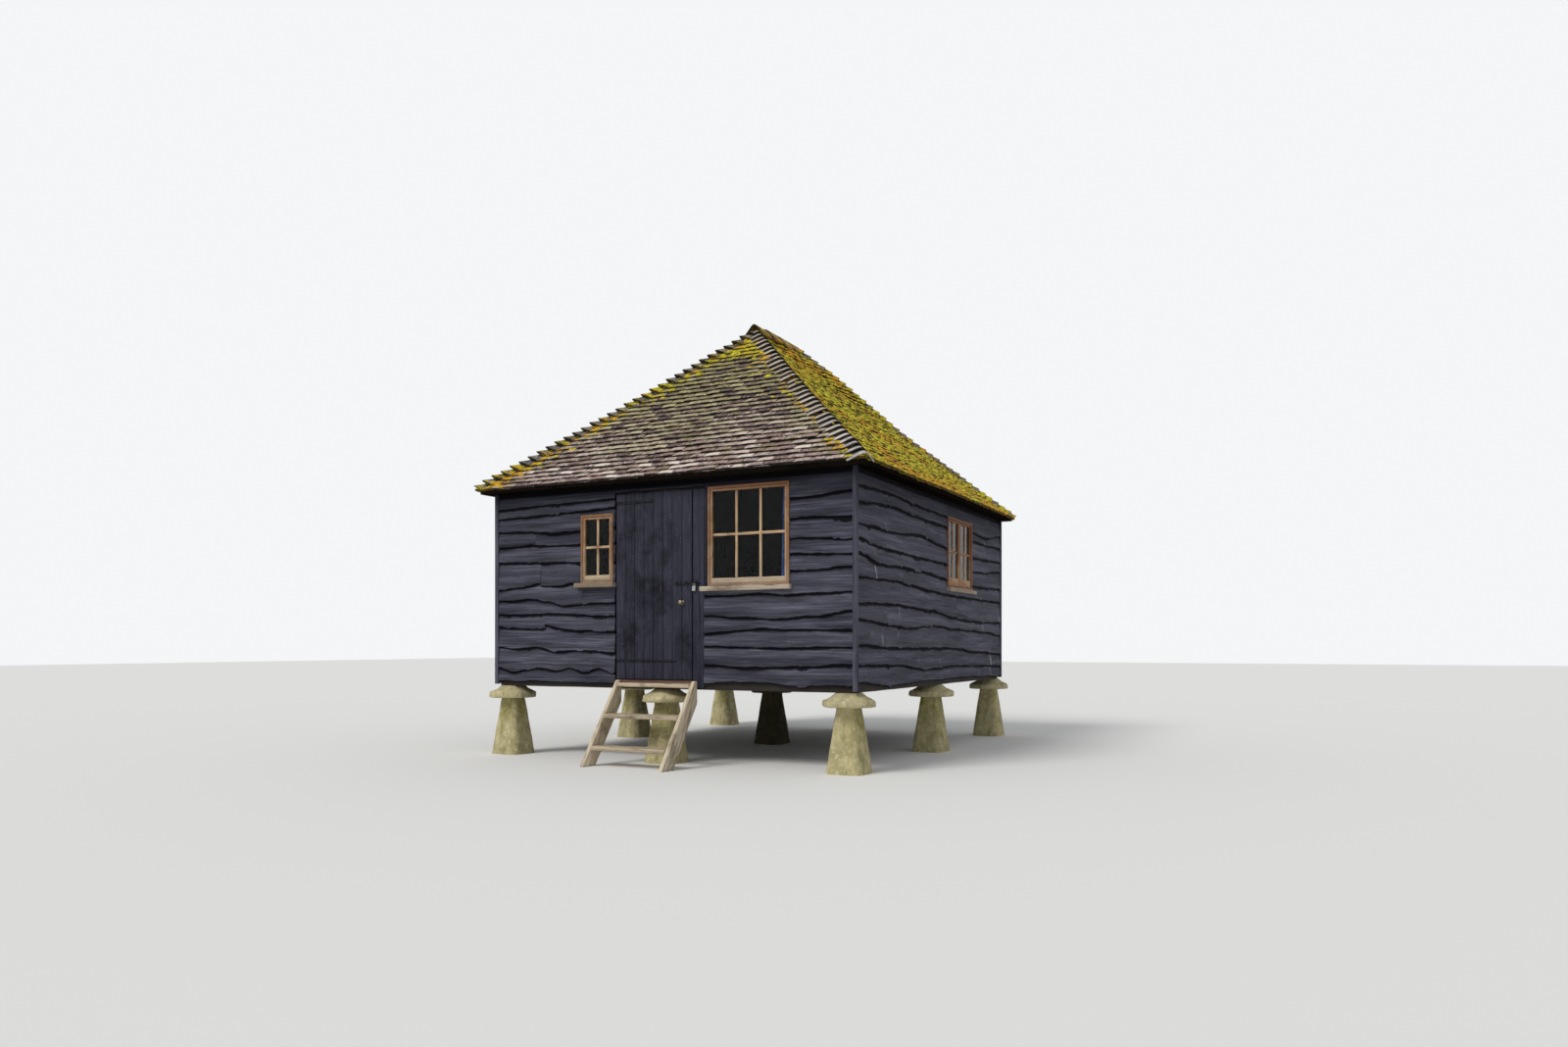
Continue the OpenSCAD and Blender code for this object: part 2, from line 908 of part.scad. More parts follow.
// Flat hasp on the leaf, slotted over the staple, with an eye for the lock.
module hasp() {
    hasp_t = 4;
    color(iron_col)
        translate([hasp_x, -leaf_face, hasp_z]) {
            difference() {
                block([0, -hasp_t, -hasp_w / 2],
                      [hasp_l, 0, hasp_w / 2]);
                translate([hasp_l - slot_in, 0, 0])
                    block([-slot_w / 2, -hasp_t - 1, -slot_l / 2],
                          [slot_w / 2, 1, slot_l / 2]);
            }
            translate([hasp_l - eye_in, -hasp_t, -4])
                rotate([90, 0, -90])
                    rotate([0, 0, -90])
                        rotate_extrude(angle = 180)
                            translate([eye_r, 0]) circle(r = 2.5);
        }
}

// Padlock hung by its shackle from the hasp's eye.
module padlock() {
    hang_y = leaf_face + 4 + 3;
    hang_z = hasp_z - 4 - 2.2;
    color([0.7, 0.7, 0.68])
        translate([hasp_x + hasp_l - eye_in, -hang_y,
                   hang_z - shackle_bend]) {
            rotate([90, 0, 0])
                rotate_extrude(angle = 180)
                    translate([shackle_bend, 0]) circle(r = shackle_r);
            for (s = [-1, 1])
                translate([s * shackle_bend, 0, -shackle_leg])
                    cylinder(h = shackle_leg, r = shackle_r);
            block([-lock_w / 2, -lock_t / 2, -shackle_leg - lock_h],
                  [lock_w / 2, lock_t / 2, -shackle_leg]);
        }
}

// Round knob on its rose.
module door_knob() {
    color([0.45, 0.38, 0.24])
        translate([door_x + knob_x, -leaf_face, knob_z])
            rotate([90, 0, 0]) {
                cylinder(h = 4, r = knob_r);
                cylinder(h = 28, r = knob_r * 0.4);
                translate([0, 0, 34])
                    intersection() {
                        sphere(r = knob_r);
                        cylinder(h = 26, r = knob_r + 1, center = true);
                    }
            }
}

// Slanted strings, cut level at the ground and the top, and upright where
// they lean on the plank under the door.
module step_strings() {
    foot = -face_y - steps_out;
    lean = -plank_face;
    back_z = (lean - foot - string_foot) * string_slope;
    color(grey_oak_col)
        for (x = [steps_x, steps_x + steps_w - string_t])
            translate([x, 0, 0])
                rotate([90, 0, 90])
                    linear_extrude(string_t)
                        polygon([[foot, 0], [foot + string_foot, 0],
                                 [lean, back_z], [lean, string_h],
                                 [foot + steps_run, string_h]]);
}

// Treads between the strings, their front edges on the strings' slope.
module step_treads() {
    color(grey_oak_col)
        for (i = [0:tread_n - 1]) {
            top = tread_z + i * tread_rise;
            front = -face_y - steps_out + (top - tread_t) / string_slope;
            back = min(front + tread_d, -plank_face - seat_gap);
            block([steps_in_x, front, top - tread_t],
                  [steps_in_x + tread_l, back, top]);
        }
}

front_staddle_posts();
middle_staddle_posts();
back_staddle_posts();
front_staddle_caps();
middle_staddle_caps();
back_staddle_caps();
floor_beams();
side_sill_beams();
floor_joists();
floor_deck();  // floor
front_wall_left();
front_wall_right();
front_wall_over_door();
back_wall();
left_wall();
right_wall();
front_boards();
back_boards();
left_boards();
right_boards();
corner_battens();
door_side_boards();
door_sill();
small_window_frame();
large_window_frame();
side_window_frame();
window_sills();
window_glass();
curtain_rail();
curtain();
front_roof_slope();
back_roof_slope();
left_roof_slope();
right_roof_slope();
hip_tiles();
ridge_tiles();
hinge_pins();
hasp_staple();
door_leaf();
door_ledges();
strap_hinges();
hasp();
padlock();
door_knob();
step_strings();
step_treads();
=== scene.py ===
import math
import random

import bmesh
import bpy
from mathutils import Matrix, Vector, noise
from mathutils.bvhtree import BVHTree


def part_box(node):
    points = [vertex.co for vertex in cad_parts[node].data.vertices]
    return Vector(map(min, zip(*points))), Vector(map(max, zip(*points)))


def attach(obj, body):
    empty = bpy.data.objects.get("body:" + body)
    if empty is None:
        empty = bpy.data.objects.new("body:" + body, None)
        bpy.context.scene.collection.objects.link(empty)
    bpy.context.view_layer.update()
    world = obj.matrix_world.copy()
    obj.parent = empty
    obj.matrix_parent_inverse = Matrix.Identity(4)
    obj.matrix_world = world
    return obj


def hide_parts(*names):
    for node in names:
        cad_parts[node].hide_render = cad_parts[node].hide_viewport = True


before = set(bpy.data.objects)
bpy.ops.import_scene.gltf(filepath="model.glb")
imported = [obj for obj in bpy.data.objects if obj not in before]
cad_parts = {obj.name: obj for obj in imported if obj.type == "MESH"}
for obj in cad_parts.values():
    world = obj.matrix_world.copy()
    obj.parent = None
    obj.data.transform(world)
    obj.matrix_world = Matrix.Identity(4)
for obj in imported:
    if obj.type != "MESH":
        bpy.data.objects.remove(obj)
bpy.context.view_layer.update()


# Camera, lamp, air and floor.
# The view is from head height, off the front right corner, level, with a
# lens that is shifted up. A wide, weak sun stands front left above.
CAMERA_PLACE = (5.867, -11.187, 1.186)
CAMERA_TURN = 27.03
LENS = 24.12
LENS_SHIFT = 0.0771
SUN_FROM = Vector((-0.28, -0.66, 0.70))
SUN_STRENGTH = 1.75
SUN_WIDTH = 24
SUN_COLOUR = (1.0, 0.98, 0.94)
AIR_COLOUR = (0.97, 0.985, 1.0, 1.0)
AIR_STRENGTH = 0.52
SEEN_STRENGTH = 0.93
FLOOR_COLOUR = (0.80, 0.80, 0.79, 1.0)
FLOOR_SIZE = 60

camera_data = bpy.data.cameras.new("photo_camera")
camera_data.lens = LENS
camera_data.shift_y = LENS_SHIFT
camera = bpy.data.objects.new("photo_camera", camera_data)
camera.location = CAMERA_PLACE
camera.rotation_euler = (math.radians(90), 0, math.radians(CAMERA_TURN))
bpy.context.scene.collection.objects.link(camera)
bpy.context.scene.camera = camera
bpy.context.scene.view_settings.view_transform = "Standard"

sun_data = bpy.data.lights.new("wide_sun", "SUN")
sun_data.energy = SUN_STRENGTH
sun_data.angle = math.radians(SUN_WIDTH)
sun_data.color = SUN_COLOUR
sun = bpy.data.objects.new("wide_sun", sun_data)
sun.rotation_euler = SUN_FROM.to_track_quat("Z", "Y").to_euler()
bpy.context.scene.collection.objects.link(sun)


def join(tree, node, inputs):
    """Sets a node's inputs; a value that is another node's socket is linked."""
    for key, value in inputs.items():
        if isinstance(value, bpy.types.NodeSocket):
            tree.links.new(value, node.inputs[key])
        else:
            node.inputs[key].default_value = value
    return node


def put(tree, kind, inputs=None, **settings):
    """Adds a shader node with its settings and inputs."""
    made = tree.nodes.new("ShaderNode" + kind)
    for key, value in settings.items():
        setattr(made, key, value)
    return join(tree, made, inputs or {})


def tint(code):
    """Linear colour from a six-figure code of red, green and blue."""
    parts = [int(code[i:i + 2], 16) / 255 for i in (0, 2, 4)]
    return tuple(p / 12.92 if p <= 0.04045 else ((p + 0.055) / 1.055) ** 2.4
                 for p in parts) + (1.0,)


def clamped(tree, kind, first, second):
    """One math operation on two numbers, held between 0 and 1, as a socket."""
    return put(tree, "Math", {0: first, 1: second}, operation=kind, use_clamp=True).outputs[0]


def ranged(tree, value, start=0.0, end=1.0, low=0.0, high=1.0, **settings):
    """A value spread from start and end over low and high, as a socket."""
    made = put(tree, "MapRange", {0: value, 1: start, 2: end, 3: low, 4: high}, **settings)
    return made.outputs[0]


world = bpy.data.worlds.new("pale_air")
bpy.context.scene.world = world
world.use_nodes = True
air = world.node_tree
ray = put(air, "LightPath")
seen = clamped(air, "ADD", ray.outputs["Is Camera Ray"], ray.outputs["Is Glossy Ray"])
seen = clamped(air, "ADD", seen, ray.outputs["Is Transmission Ray"])
join(air, air.nodes["Background"], {
    "Color": AIR_COLOUR, "Strength": ranged(air, seen, low=AIR_STRENGTH, high=SEEN_STRENGTH)})

floor_mesh = bmesh.new()
bmesh.ops.create_grid(floor_mesh, x_segments=1, y_segments=1, size=FLOOR_SIZE)
floor_data = bpy.data.meshes.new("studio_floor")
floor_mesh.to_mesh(floor_data)
floor_mesh.free()
studio_floor = bpy.data.objects.new("studio_floor", floor_data)
bpy.context.scene.collection.objects.link(studio_floor)
floor_paint = bpy.data.materials.new("floor_paint")
floor_paint.use_nodes = True
join(floor_paint.node_tree, floor_paint.node_tree.nodes["Principled BSDF"],
     {"Base Color": FLOOR_COLOUR, "Roughness": 0.95, "Specular IOR Level": 0.1})
floor_data.materials.append(floor_paint)


# Staddle posts.
# Nine tapered square posts of pale limestone with rounded corners, tooled by
# hand, with algae under the caps. The middle one is painted nearly black, as
# painted shade under the building.
STONE_ROWS = ("front", "middle", "back")
STONE_WEAR = 0.004
POST_RINGS = 14
POST_SIDES = 40
POST_FOOT_SHARE = 0.94
POST_TOP = 0.205
CORNER_POWER = 5
DAMP_RISE = 0.2
DARK_WITHIN = 0.3
LIT_BEYOND = 0.45
MERGE = 1e-5
WHOLE_EDGE = 0.99


def effect(name, inputs, outputs):
    """An empty node group with named inputs and outputs, and its end nodes."""
    group = bpy.data.node_groups.new(name, "ShaderNodeTree")
    for label, value in inputs.items():
        kind = "NodeSocketVector" if value is None else "NodeSocketFloat"
        socket = group.interface.new_socket(label, in_out="INPUT", socket_type=kind)
        if value is not None:
            socket.default_value = value
    for label in outputs:
        group.interface.new_socket(label, in_out="OUTPUT", socket_type="NodeSocketFloat")
    return group, group.nodes.new("NodeGroupInput"), group.nodes.new("NodeGroupOutput")


def place(tree, group, inputs):
    """Puts a node group into a material."""
    made = tree.nodes.new("ShaderNodeGroup")
    made.node_tree = group
    return join(tree, made, inputs)


# Patches: cloudy spots, from none at Low to full at High.
patches, start, end = effect(
    "patches", {"Vector": None, "Scale": 5.0, "Low": 0.45, "High": 0.6}, ["Mask"])
cloud = put(patches, "TexNoise", {"Vector": start.outputs["Vector"], "Scale": start.outputs["Scale"],
                                  "Detail": 5.0, "Roughness": 0.62})
join(patches, end, {"Mask": ranged(patches, cloud.outputs[0], start.outputs["Low"], start.outputs["High"],
                                   interpolation_type="SMOOTHSTEP")})


def spots(tree, where, scale, low=0.45, high=0.6):
    """The mask of such patches in a material."""
    return place(tree, patches, {"Vector": where, "Scale": scale, "Low": low, "High": high}).outputs[0]


def finish(name, **plain):
    """A new material with its tree and shader, and the shader's plain values."""
    made = bpy.data.materials.new(name)
    made.use_nodes = True
    shader = made.node_tree.nodes["Principled BSDF"]
    join(made.node_tree, shader, {key.replace("_", " "): value for key, value in plain.items()})
    return made, made.node_tree, shader


def bumpy(tree, shader, height, depth, strength=1.0):
    """Raises the shader's surface by a height, to a depth in metres."""
    made = put(tree, "Bump", {"Height": height, "Distance": depth, "Strength": strength})
    join(tree, shader, {"Normal": made.outputs[0]})


def on_piece(tree):
    """A piece's own coordinates, as a socket."""
    return put(tree, "TexCoord").outputs["Object"]


def height_of(tree, vector):
    """The height of such a place over the ground, as a socket."""
    return put(tree, "SeparateXYZ", {0: vector}).outputs[2]


def stretched(tree, vector, scale):
    """The same places scaled along each axis, as a socket."""
    return put(tree, "Mapping", {"Vector": vector, "Scale": scale}).outputs[0]


def noisy(tree, vector, scale, detail=2.0, roughness=0.5):
    """Noise from 0 to 1, as a socket."""
    return put(tree, "TexNoise", {"Vector": vector, "Scale": scale, "Detail": detail,
                                  "Roughness": roughness}).outputs[0]


def mixed(tree, share, first, second):
    """The colour between two colours, by share, as a socket."""
    return put(tree, "Mix", {0: share, 6: first, 7: second}, data_type="RGBA").outputs[2]


def times(tree, first, second):
    """The product of two masks, as a socket."""
    return clamped(tree, "MULTIPLY", first, second)


def stain(tree, colour, mask, code, strength=1.0):
    """A colour with another laid over it where a mask is, as a socket."""
    share = mask if strength == 1.0 else times(tree, mask, strength)
    return mixed(tree, share, colour, tint(code))


def limestone(name, green, sheltered, base="aca27a"):
    """Weathered limestone, with algae that thickens in a sheltered height, and painted shade towards the
    building's middle.
    """
    made, tree, shader = finish(name, Roughness=0.94, Specular_IOR_Level=0.2)
    here = on_piece(tree)
    flow = stretched(tree, here, (1.0, 1.0, 0.3))
    colour = mixed(tree, spots(tree, here, 7.0, 0.35, 0.65), tint(base), tint("c8bd92"))
    colour = stain(tree, colour, spots(tree, here, 24.0, 0.5, 0.7), "dcd1a6")
    colour = stain(tree, colour, spots(tree, flow, 14.0, 0.42, 0.75), "6d6646", 0.6)
    damp_and_lap_shade = ranged(tree, height_of(tree, here), sheltered - DAMP_RISE, sheltered, low=0.12)
    algae = times(tree, spots(tree, flow, 4.3, 0.58 - green, 0.9 - green),
                  spots(tree, here, 38.0, 0.25, 0.55))
    colour = stain(tree, colour, times(tree, algae, damp_and_lap_shade), "7c7a2c")
    colour = stain(tree, colour, spots(tree, here, 70.0, 0.6, 0.7), "5d5746", 0.7)
    # Painted shade: the stone darkens towards the middle of the building.
    level = stretched(tree, here, (1.0, 1.0, 0.0))
    from_middle = put(tree, "VectorMath", {0: level}, operation="LENGTH").outputs["Value"]
    shaded = ranged(tree, from_middle, LIT_BEYOND, DARK_WITHIN, high=0.86)
    join(tree, shader, {"Base Color": stain(tree, colour, shaded, "1a1812")})
    bumpy(tree, shader, noisy(tree, here, 55.0, 6.0, 0.7), 0.012)
    return made


def divided_box(parts):
    """A unit cube about the origin, cut into so many parts along x, y and z."""
    bm = bmesh.new()
    bmesh.ops.create_cube(bm, size=1)
    for axis, count in enumerate(parts):
        along = [e for e in bm.edges if abs((e.verts[0].co - e.verts[1].co)[axis]) > WHOLE_EDGE]
        if count > 1:
            bmesh.ops.subdivide_edges(bm, edges=along, cuts=count - 1, use_grid_fill=True)
    return bm


def solid_copy(node):
    """A CAD node's mesh as a closed bmesh."""
    bm = bmesh.new()
    bm.from_mesh(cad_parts[node].data)
    bmesh.ops.remove_doubles(bm, verts=bm.verts, dist=MERGE)
    return bm


def solids(node):
    """The separate solids of a CAD node, as lowest and highest corners."""
    bm = solid_copy(node)
    left, boxes = set(bm.verts), []
    while left:
        reached = [left.pop()]
        points = []
        while reached:
            corner = reached.pop()
            points.append(corner.co.copy())
            for edge in corner.link_edges:
                other = edge.other_vert(corner)
                if other in left:
                    left.remove(other)
                    reached.append(other)
        boxes.append((Vector(map(min, zip(*points))), Vector(map(max, zip(*points)))))
    bm.free()
    return sorted(boxes, key=lambda box: [round(x, 3) for x in box[0]])


def add_part(bm, part):
    """Moves one bmesh into another."""
    mesh = bpy.data.meshes.new("part")
    part.to_mesh(mesh)
    part.free()
    bm.from_mesh(mesh)
    bpy.data.meshes.remove(mesh)


def make_piece(name, bm, material, stands_for=(), body="root", smooth=38):
    """A finished piece of the object, riding on a body in place of CAD nodes."""
    mesh = bpy.data.meshes.new(name)
    bm.to_mesh(mesh)
    bm.free()
    mesh.materials.append(material)
    mesh.shade_smooth()
    mesh.set_sharp_from_angle(angle=math.radians(smooth))
    piece = bpy.data.objects.new(name, mesh)
    bpy.context.scene.collection.objects.link(piece)
    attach(piece, body)
    if stands_for:
        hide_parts(*stands_for)
    return piece


def rough(point, scale, seed):
    """Smooth noise from -1 to 1 at a point."""
    return noise.fractal(point * scale + Vector((seed * 7.3, seed * 3.1, seed)), 0.9, 2.1, 4)


def staddle_post(bm, low, high, seed):
    """A tapered post: a drum pulled square, narrowed upwards and worn."""
    part = bmesh.new()
    bmesh.ops.create_cone(part, cap_ends=True, segments=POST_SIDES, radius1=1, radius2=1, depth=1)
    upright = [e for e in part.edges if abs((e.verts[0].co - e.verts[1].co).z) > WHOLE_EDGE]
    bmesh.ops.subdivide_edges(part, edges=upright, cuts=POST_RINGS - 1, use_grid_fill=True)
    middle = (low + high) / 2
    height = high.z - low.z
    for v in part.verts:
        share = v.co.z + 0.5
        turn = math.atan2(v.co.y, v.co.x)
        across, away = abs(math.cos(turn)), abs(math.sin(turn))
        square = (across ** CORNER_POWER + away ** CORNER_POWER) ** (-1 / CORNER_POWER)
        half = ((high.x - low.x) * POST_FOOT_SHARE * (1 - share) + POST_TOP * share) / 2
        around = Vector((math.cos(turn), math.sin(turn), share * 3))
        wear_and_edge_shade = STONE_WEAR * (1 + 0.8 * rough(around, 1.1, seed) + 0.4 * rough(around, 5, seed))
        reach = half * square - max(wear_and_edge_shade, 0)
        v.co = Vector((middle.x + reach * math.cos(turn), middle.y + reach * math.sin(turn),
                       low.z + height * share))
    add_part(bm, part)


post_stone = limestone("post_limestone", green=0.2, sheltered=0.45)
for seed, row in enumerate(STONE_ROWS):
    shafts = bmesh.new()
    for number, (low, high) in enumerate(solids(row + "_staddle_posts")):
        staddle_post(shafts, low, high, seed * 3 + number)
    make_piece(row + "_post_stones", shafts, post_stone, [row + "_staddle_posts"], smooth=60)


# Staddle caps.
# Round mushroom caps of the same stone, flat below and crowned above, with
# a thick chipped rim. They are a little paler than the posts.
CAP_SEAT = 0.125
CAP_STEPS = 48
CAP_SEEDS = 20
CAP_PROFILE = ((0.5, 0.0), (0.95, 0.0), (0.99, 0.05), (1.0, 0.20), (0.995, 0.44), (0.97, 0.53),
               (0.86, 0.62), (0.66, 0.78))


def staddle_cap(bm, low, high, seed):
    """A cap turned from its profile, then chipped at the rim."""
    reach = (high.x - low.x) / 2
    tall = high.z - low.z
    middle = (low + high) / 2
    profile = [(reach * out, tall * up) for out, up in CAP_PROFILE]
    profile = [(0.0, 0.0)] + profile + [(CAP_SEAT, tall), (0.0, tall)]
    part = bmesh.new()
    line = [part.verts.new((r, 0, z)) for r, z in profile]
    for a, b in zip(line, line[1:]):
        part.edges.new((a, b))
    bmesh.ops.spin(part, geom=part.verts[:] + part.edges[:], axis=(0, 0, 1), cent=(0, 0, 0),
                   angle=math.tau, steps=CAP_STEPS, use_merge=True)
    bmesh.ops.remove_doubles(part, verts=part.verts, dist=MERGE)
    bmesh.ops.recalc_face_normals(part, faces=part.faces)
    for v in part.verts:
        out = math.hypot(v.co.x, v.co.y)
        if out > CAP_SEAT * 1.05:
            rim = (out - CAP_SEAT) / (reach - CAP_SEAT)
            flat = Vector((v.co.x, v.co.y, v.co.z * 1.5))
            chip = 0.009 + 0.011 * rough(flat, 5, seed) + 0.010 * rough(flat, 19, seed)
            v.co *= 1 - max(chip, 0) * rim / out
            if v.co.z > 0.1 * tall:
                v.co.z -= max(0, 0.006 + 0.007 * rough(flat, 11, seed + 2)) * min(1, rim * 2)
        v.co += Vector((middle.x, middle.y, low.z))
    add_part(bm, part)


cap_stone = limestone("cap_limestone", green=0.06, sheltered=0.6, base="b9b190")
for seed, row in enumerate(STONE_ROWS):
    crowns = bmesh.new()
    for number, (low, high) in enumerate(solids(row + "_staddle_caps")):
        staddle_cap(crowns, low, high, CAP_SEEDS + seed * 3 + number)
    make_piece(row + "_cap_stones", crowns, cap_stone, [row + "_staddle_caps"], smooth=50)


# Floor frame and floor.
# Squared oak beams lie on the stones, with joists framed between them and
# square-edged boards on top. All of it is painted near-black, as painted shade
# under the building.
FLOOR_BOARD = 0.19
BOARD_JOINT = 0.003
THIRD_SHARE = 0.73
GRAIN_PLACES = 40
BEAM_SEEDS = 100
PLANK_SEEDS = 300


def worked_out(tree, kind, *values):
    """One math operation on two or three numbers, as a socket."""
    return put(tree, "Math", dict(enumerate(values)), operation=kind).outputs[0]


# Grain: streaks along the first coordinate, wavy where knots would be.
grain, start, end = effect(
    "grain", {"Vector": None, "Along": 2.2, "Across": 85.0, "Bend": 0.028}, ["Streaks", "Fine"])
bend = noisy(grain, start.outputs["Vector"], 2.6)
shift = worked_out(grain, "MULTIPLY", bend, start.outputs["Bend"])
apart = put(grain, "SeparateXYZ", {0: start.outputs["Vector"]})
lengthways = worked_out(grain, "MULTIPLY", apart.outputs[0], start.outputs["Along"])
moved = worked_out(grain, "ADD", apart.outputs[1], shift)
crossways = worked_out(grain, "MULTIPLY", moved, start.outputs["Across"])
drawn = put(grain, "CombineXYZ", {0: lengthways, 1: crossways}).outputs[0]
join(grain, end, {"Streaks": ranged(grain, noisy(grain, drawn, 0.35, 3.0), 0.3, 0.7),
                  "Fine": ranged(grain, noisy(grain, drawn, 1.6, 4.0, 0.7), 0.32, 0.68)})


def layer(tree, name):
    """A value stored in a piece's mesh, as a socket."""
    return put(tree, "Attribute", attribute_name=name).outputs["Fac"]


def wood(name, dark, middle, pale, rough_at=0.8, depth=0.0015, across=85.0, weathered=0.0,
         gloss=0.4, cracks=0.0, knots=0.0):
    """Timber whose grain follows its own map; tone sets each stick apart."""
    made, tree, shader = finish(name, Roughness=rough_at, Specular_IOR_Level=gloss)
    along = put(tree, "UVMap", uv_map="grain").outputs[0]
    here = on_piece(tree)
    tone = layer(tree, "tone")
    lines = place(tree, grain, {"Vector": along, "Across": across})
    fine = lines.outputs["Fine"]
    colour = mixed(tree, lines.outputs["Streaks"], tint(dark), tint(middle))
    colour = stain(tree, colour, times(tree, fine, tone), pale)
    colour = stain(tree, colour, spots(tree, here, 2.7, 0.5, 0.75), dark)
    if weathered:
        height = height_of(tree, here)
        bleached = ranged(tree, height, weathered + 0.15, weathered - 0.2)
        stripes = times(tree, ranged(tree, fine, low=0.35), ranged(tree, tone, low=0.35))
        colour = stain(tree, colour, times(tree, bleached, stripes), "bdb09c")
        bare = times(tree, spots(tree, here, 8.0, 0.5, 0.62), stripes)
        colour = stain(tree, colour, bare, "b9ab95", 0.6)
        dry = ranged(tree, height, weathered + 0.45, weathered + 0.8, high=0.75)
        colour = stain(tree, colour, dry, "6f452a")
    if knots:
        oval = stretched(tree, along, (0.5, 1.0, 1.0))
        cells = put(tree, "TexVoronoi", {"Vector": oval, "Scale": 5.2}, voronoi_dimensions="2D")
        from_knot = cells.outputs["Distance"]
        colour = stain(tree, colour, ranged(tree, from_knot, 0.08, 0.05, high=knots), "62626f")
        colour = stain(tree, colour, ranged(tree, from_knot, 0.05, 0.02), dark)
    if cracks:
        colour = stain(tree, colour, ranged(tree, fine, 0.27, 0.03, high=cracks), "2a2119")
    join(tree, shader, {"Base Color": colour})
    bumpy(tree, shader, fine, depth, 0.9)
    return made


def mark(part, direction, seed, tone=None):
    """Gives a stick its tone and its grain map along a direction."""
    draw = random.Random(seed)
    offset = draw.uniform(0, GRAIN_PLACES)
    tone = draw.random() if tone is None else tone
    direction = Vector(direction).normalized()
    level = Vector((1, 0, 0)) if abs(direction.y) > 0.9 else Vector((0, 1, 0))
    side = direction.cross(level).normalized()
    third = direction.cross(side)
    toned = part.verts.layers.float.get("tone") or part.verts.layers.float.new("tone")
    for v in part.verts:
        v[toned] = tone
    mapped = part.loops.layers.uv.get("grain") or part.loops.layers.uv.new("grain")
    for face in part.faces:
        for loop in face.loops:
            point = loop.vert.co
            loop[mapped].uv = (point.dot(direction) + offset,
                               point.dot(side) + THIRD_SHARE * point.dot(third) + offset * 0.37)


def eased_edges(bm, edges, offset, segments=2, clamp=True):
    """Rounds the edges of a bmesh."""
    bmesh.ops.bevel(bm, geom=edges, offset=offset, offset_type="OFFSET", segments=segments, profile=0.5,
                    affect="EDGES", material=-1, clamp_overlap=clamp)


def timber(bm, low, high, seed, edge=0.004, cuts=1, wear=0.0, tone=None):
    """A squared timber between two corners, its edges eased, worn if asked."""
    size = high - low
    long_axis = max(range(3), key=lambda i: size[i])
    parts = [1, 1, 1]
    parts[long_axis] = cuts
    part = divided_box(parts)
    for v in part.verts:
        v.co = low + Vector(size[i] * (v.co[i] + 0.5) for i in range(3))
    eased_edges(part, [e for e in part.edges if e.calc_face_angle(0) > 1], edge)
    if wear:
        centre = (low + high) / 2
        for v in part.verts:
            inward = centre - v.co
            inward[long_axis] = 0
            v.co += inward.normalized() * wear * max(0, 0.5 + rough(v.co, 3.5, seed))
    direction = Vector((0, 0, 0))
    direction[long_axis] = 1
    mark(part, direction, seed, tone)
    add_part(bm, part)


# Painted shade: this oak is coloured near-black for the shade under the building and inside it.
shadow_black_oak = wood("shadow_black_oak", "15120f", "231d18", "352d26")
for first, node in enumerate(("floor_beams", "side_sill_beams", "floor_joists")):
    sticks = bmesh.new()
    for number, (low, high) in enumerate(solids(node)):
        timber(sticks, low, high, BEAM_SEEDS * first + number, edge=0.006, cuts=12, wear=0.003)
    make_piece(node + "_sawn", sticks, shadow_black_oak, [node])

low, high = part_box("floor")
planks = bmesh.new()
count = round((high.y - low.y) / FLOOR_BOARD)
pitch = (high.y - low.y) / count
for number in range(count):
    near = low.y + number * pitch + BOARD_JOINT / 2
    far = low.y + (number + 1) * pitch - BOARD_JOINT / 2
    timber(planks, Vector((low.x, near, low.z)), Vector((high.x, far, high.z)), PLANK_SEEDS + number,
           edge=0.002)
make_piece("floor_planks", planks, shadow_black_oak, ["floor"])


# Framed walls.
# Oak posts, studs and rails behind the boarding, lined and black with age.
# The solids already have the door and window openings.
wall_lining, tree, shader = finish("wall_lining", Roughness=0.85)
here = on_piece(tree)
fibres = noisy(tree, stretched(tree, here, (1.0, 1.0, 0.06)), 60.0, 5.0)
colour = mixed(tree, fibres, tint("2a221b"), tint("4b3d30"))
join(tree, shader, {"Base Color": stain(tree, colour, spots(tree, here, 3.0), "1d1814")})
bumpy(tree, shader, fibres, 0.002)


def dress(node, material):
    """Gives a CAD node that stays its finish."""
    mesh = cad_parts[node].data
    mesh.materials.clear()
    mesh.materials.append(material)


for node in ("front_wall_left", "front_wall_right", "front_wall_over_door", "back_wall",
             "left_wall", "right_wall"):
    dress(node, wall_lining)


# Waney-edge boarding.
# Sawn boards nailed over each other from the bottom up, stained black, with
# their lower edges left as the tree grew. Each board is lapped by the next one up.
BOARD_LAP = 0.034
BOARD_THICK = 0.019
BOARD_OUT = 0.042
BOARD_TOP_OUT = 0.017
BOARD_GAP = 0.003
COLUMN = 0.024
FRONT_HALF = 2.10
SIDE_HALF = 2.39
HIGHEST_EDGE = 0.16
LOWEST_EDGE = 0.785
PLAIN_ROWS = 12
EDGE_WAVE = 0.010
EDGE_NOTCH = 0.05
BARK_WAVE = 0.0055
BARK_ROUGH = 0.002
BOARD_WARP = 0.0022
SHADE_STARTS = 0.026
SHADE_FULL = 0.011
OFF_WALL = 0.0006
BESIDE_DOOR = 0.033
JAMB_BOARD = 0.05
OVER_LEAF = 0.005
SILL_TALL = 0.046
OTHER_WALLS_PALER = 0.7
QUARTERS = {"front": 0, "right": 1, "back": 2, "left": 3}

# Seven places up a board, from its lower edge to its top: how black its edge
# is, as bark and painted shade, how dark the painted shade of the board over it
# is, and how far its edge is eased.
EDGE_BLACK = (1.0, 1.0, 0.1, 0.0, 0.0, 0.0, 0.0)
LAP_SHADE = (0.0, 0.0, 0.0, 0.0, 0.05, 1.0, 1.0)
EDGE_EASE = (0.013, 0.004, 0, 0, 0, 0, 0)
BOARD_PARTS = len(EDGE_BLACK) - 1

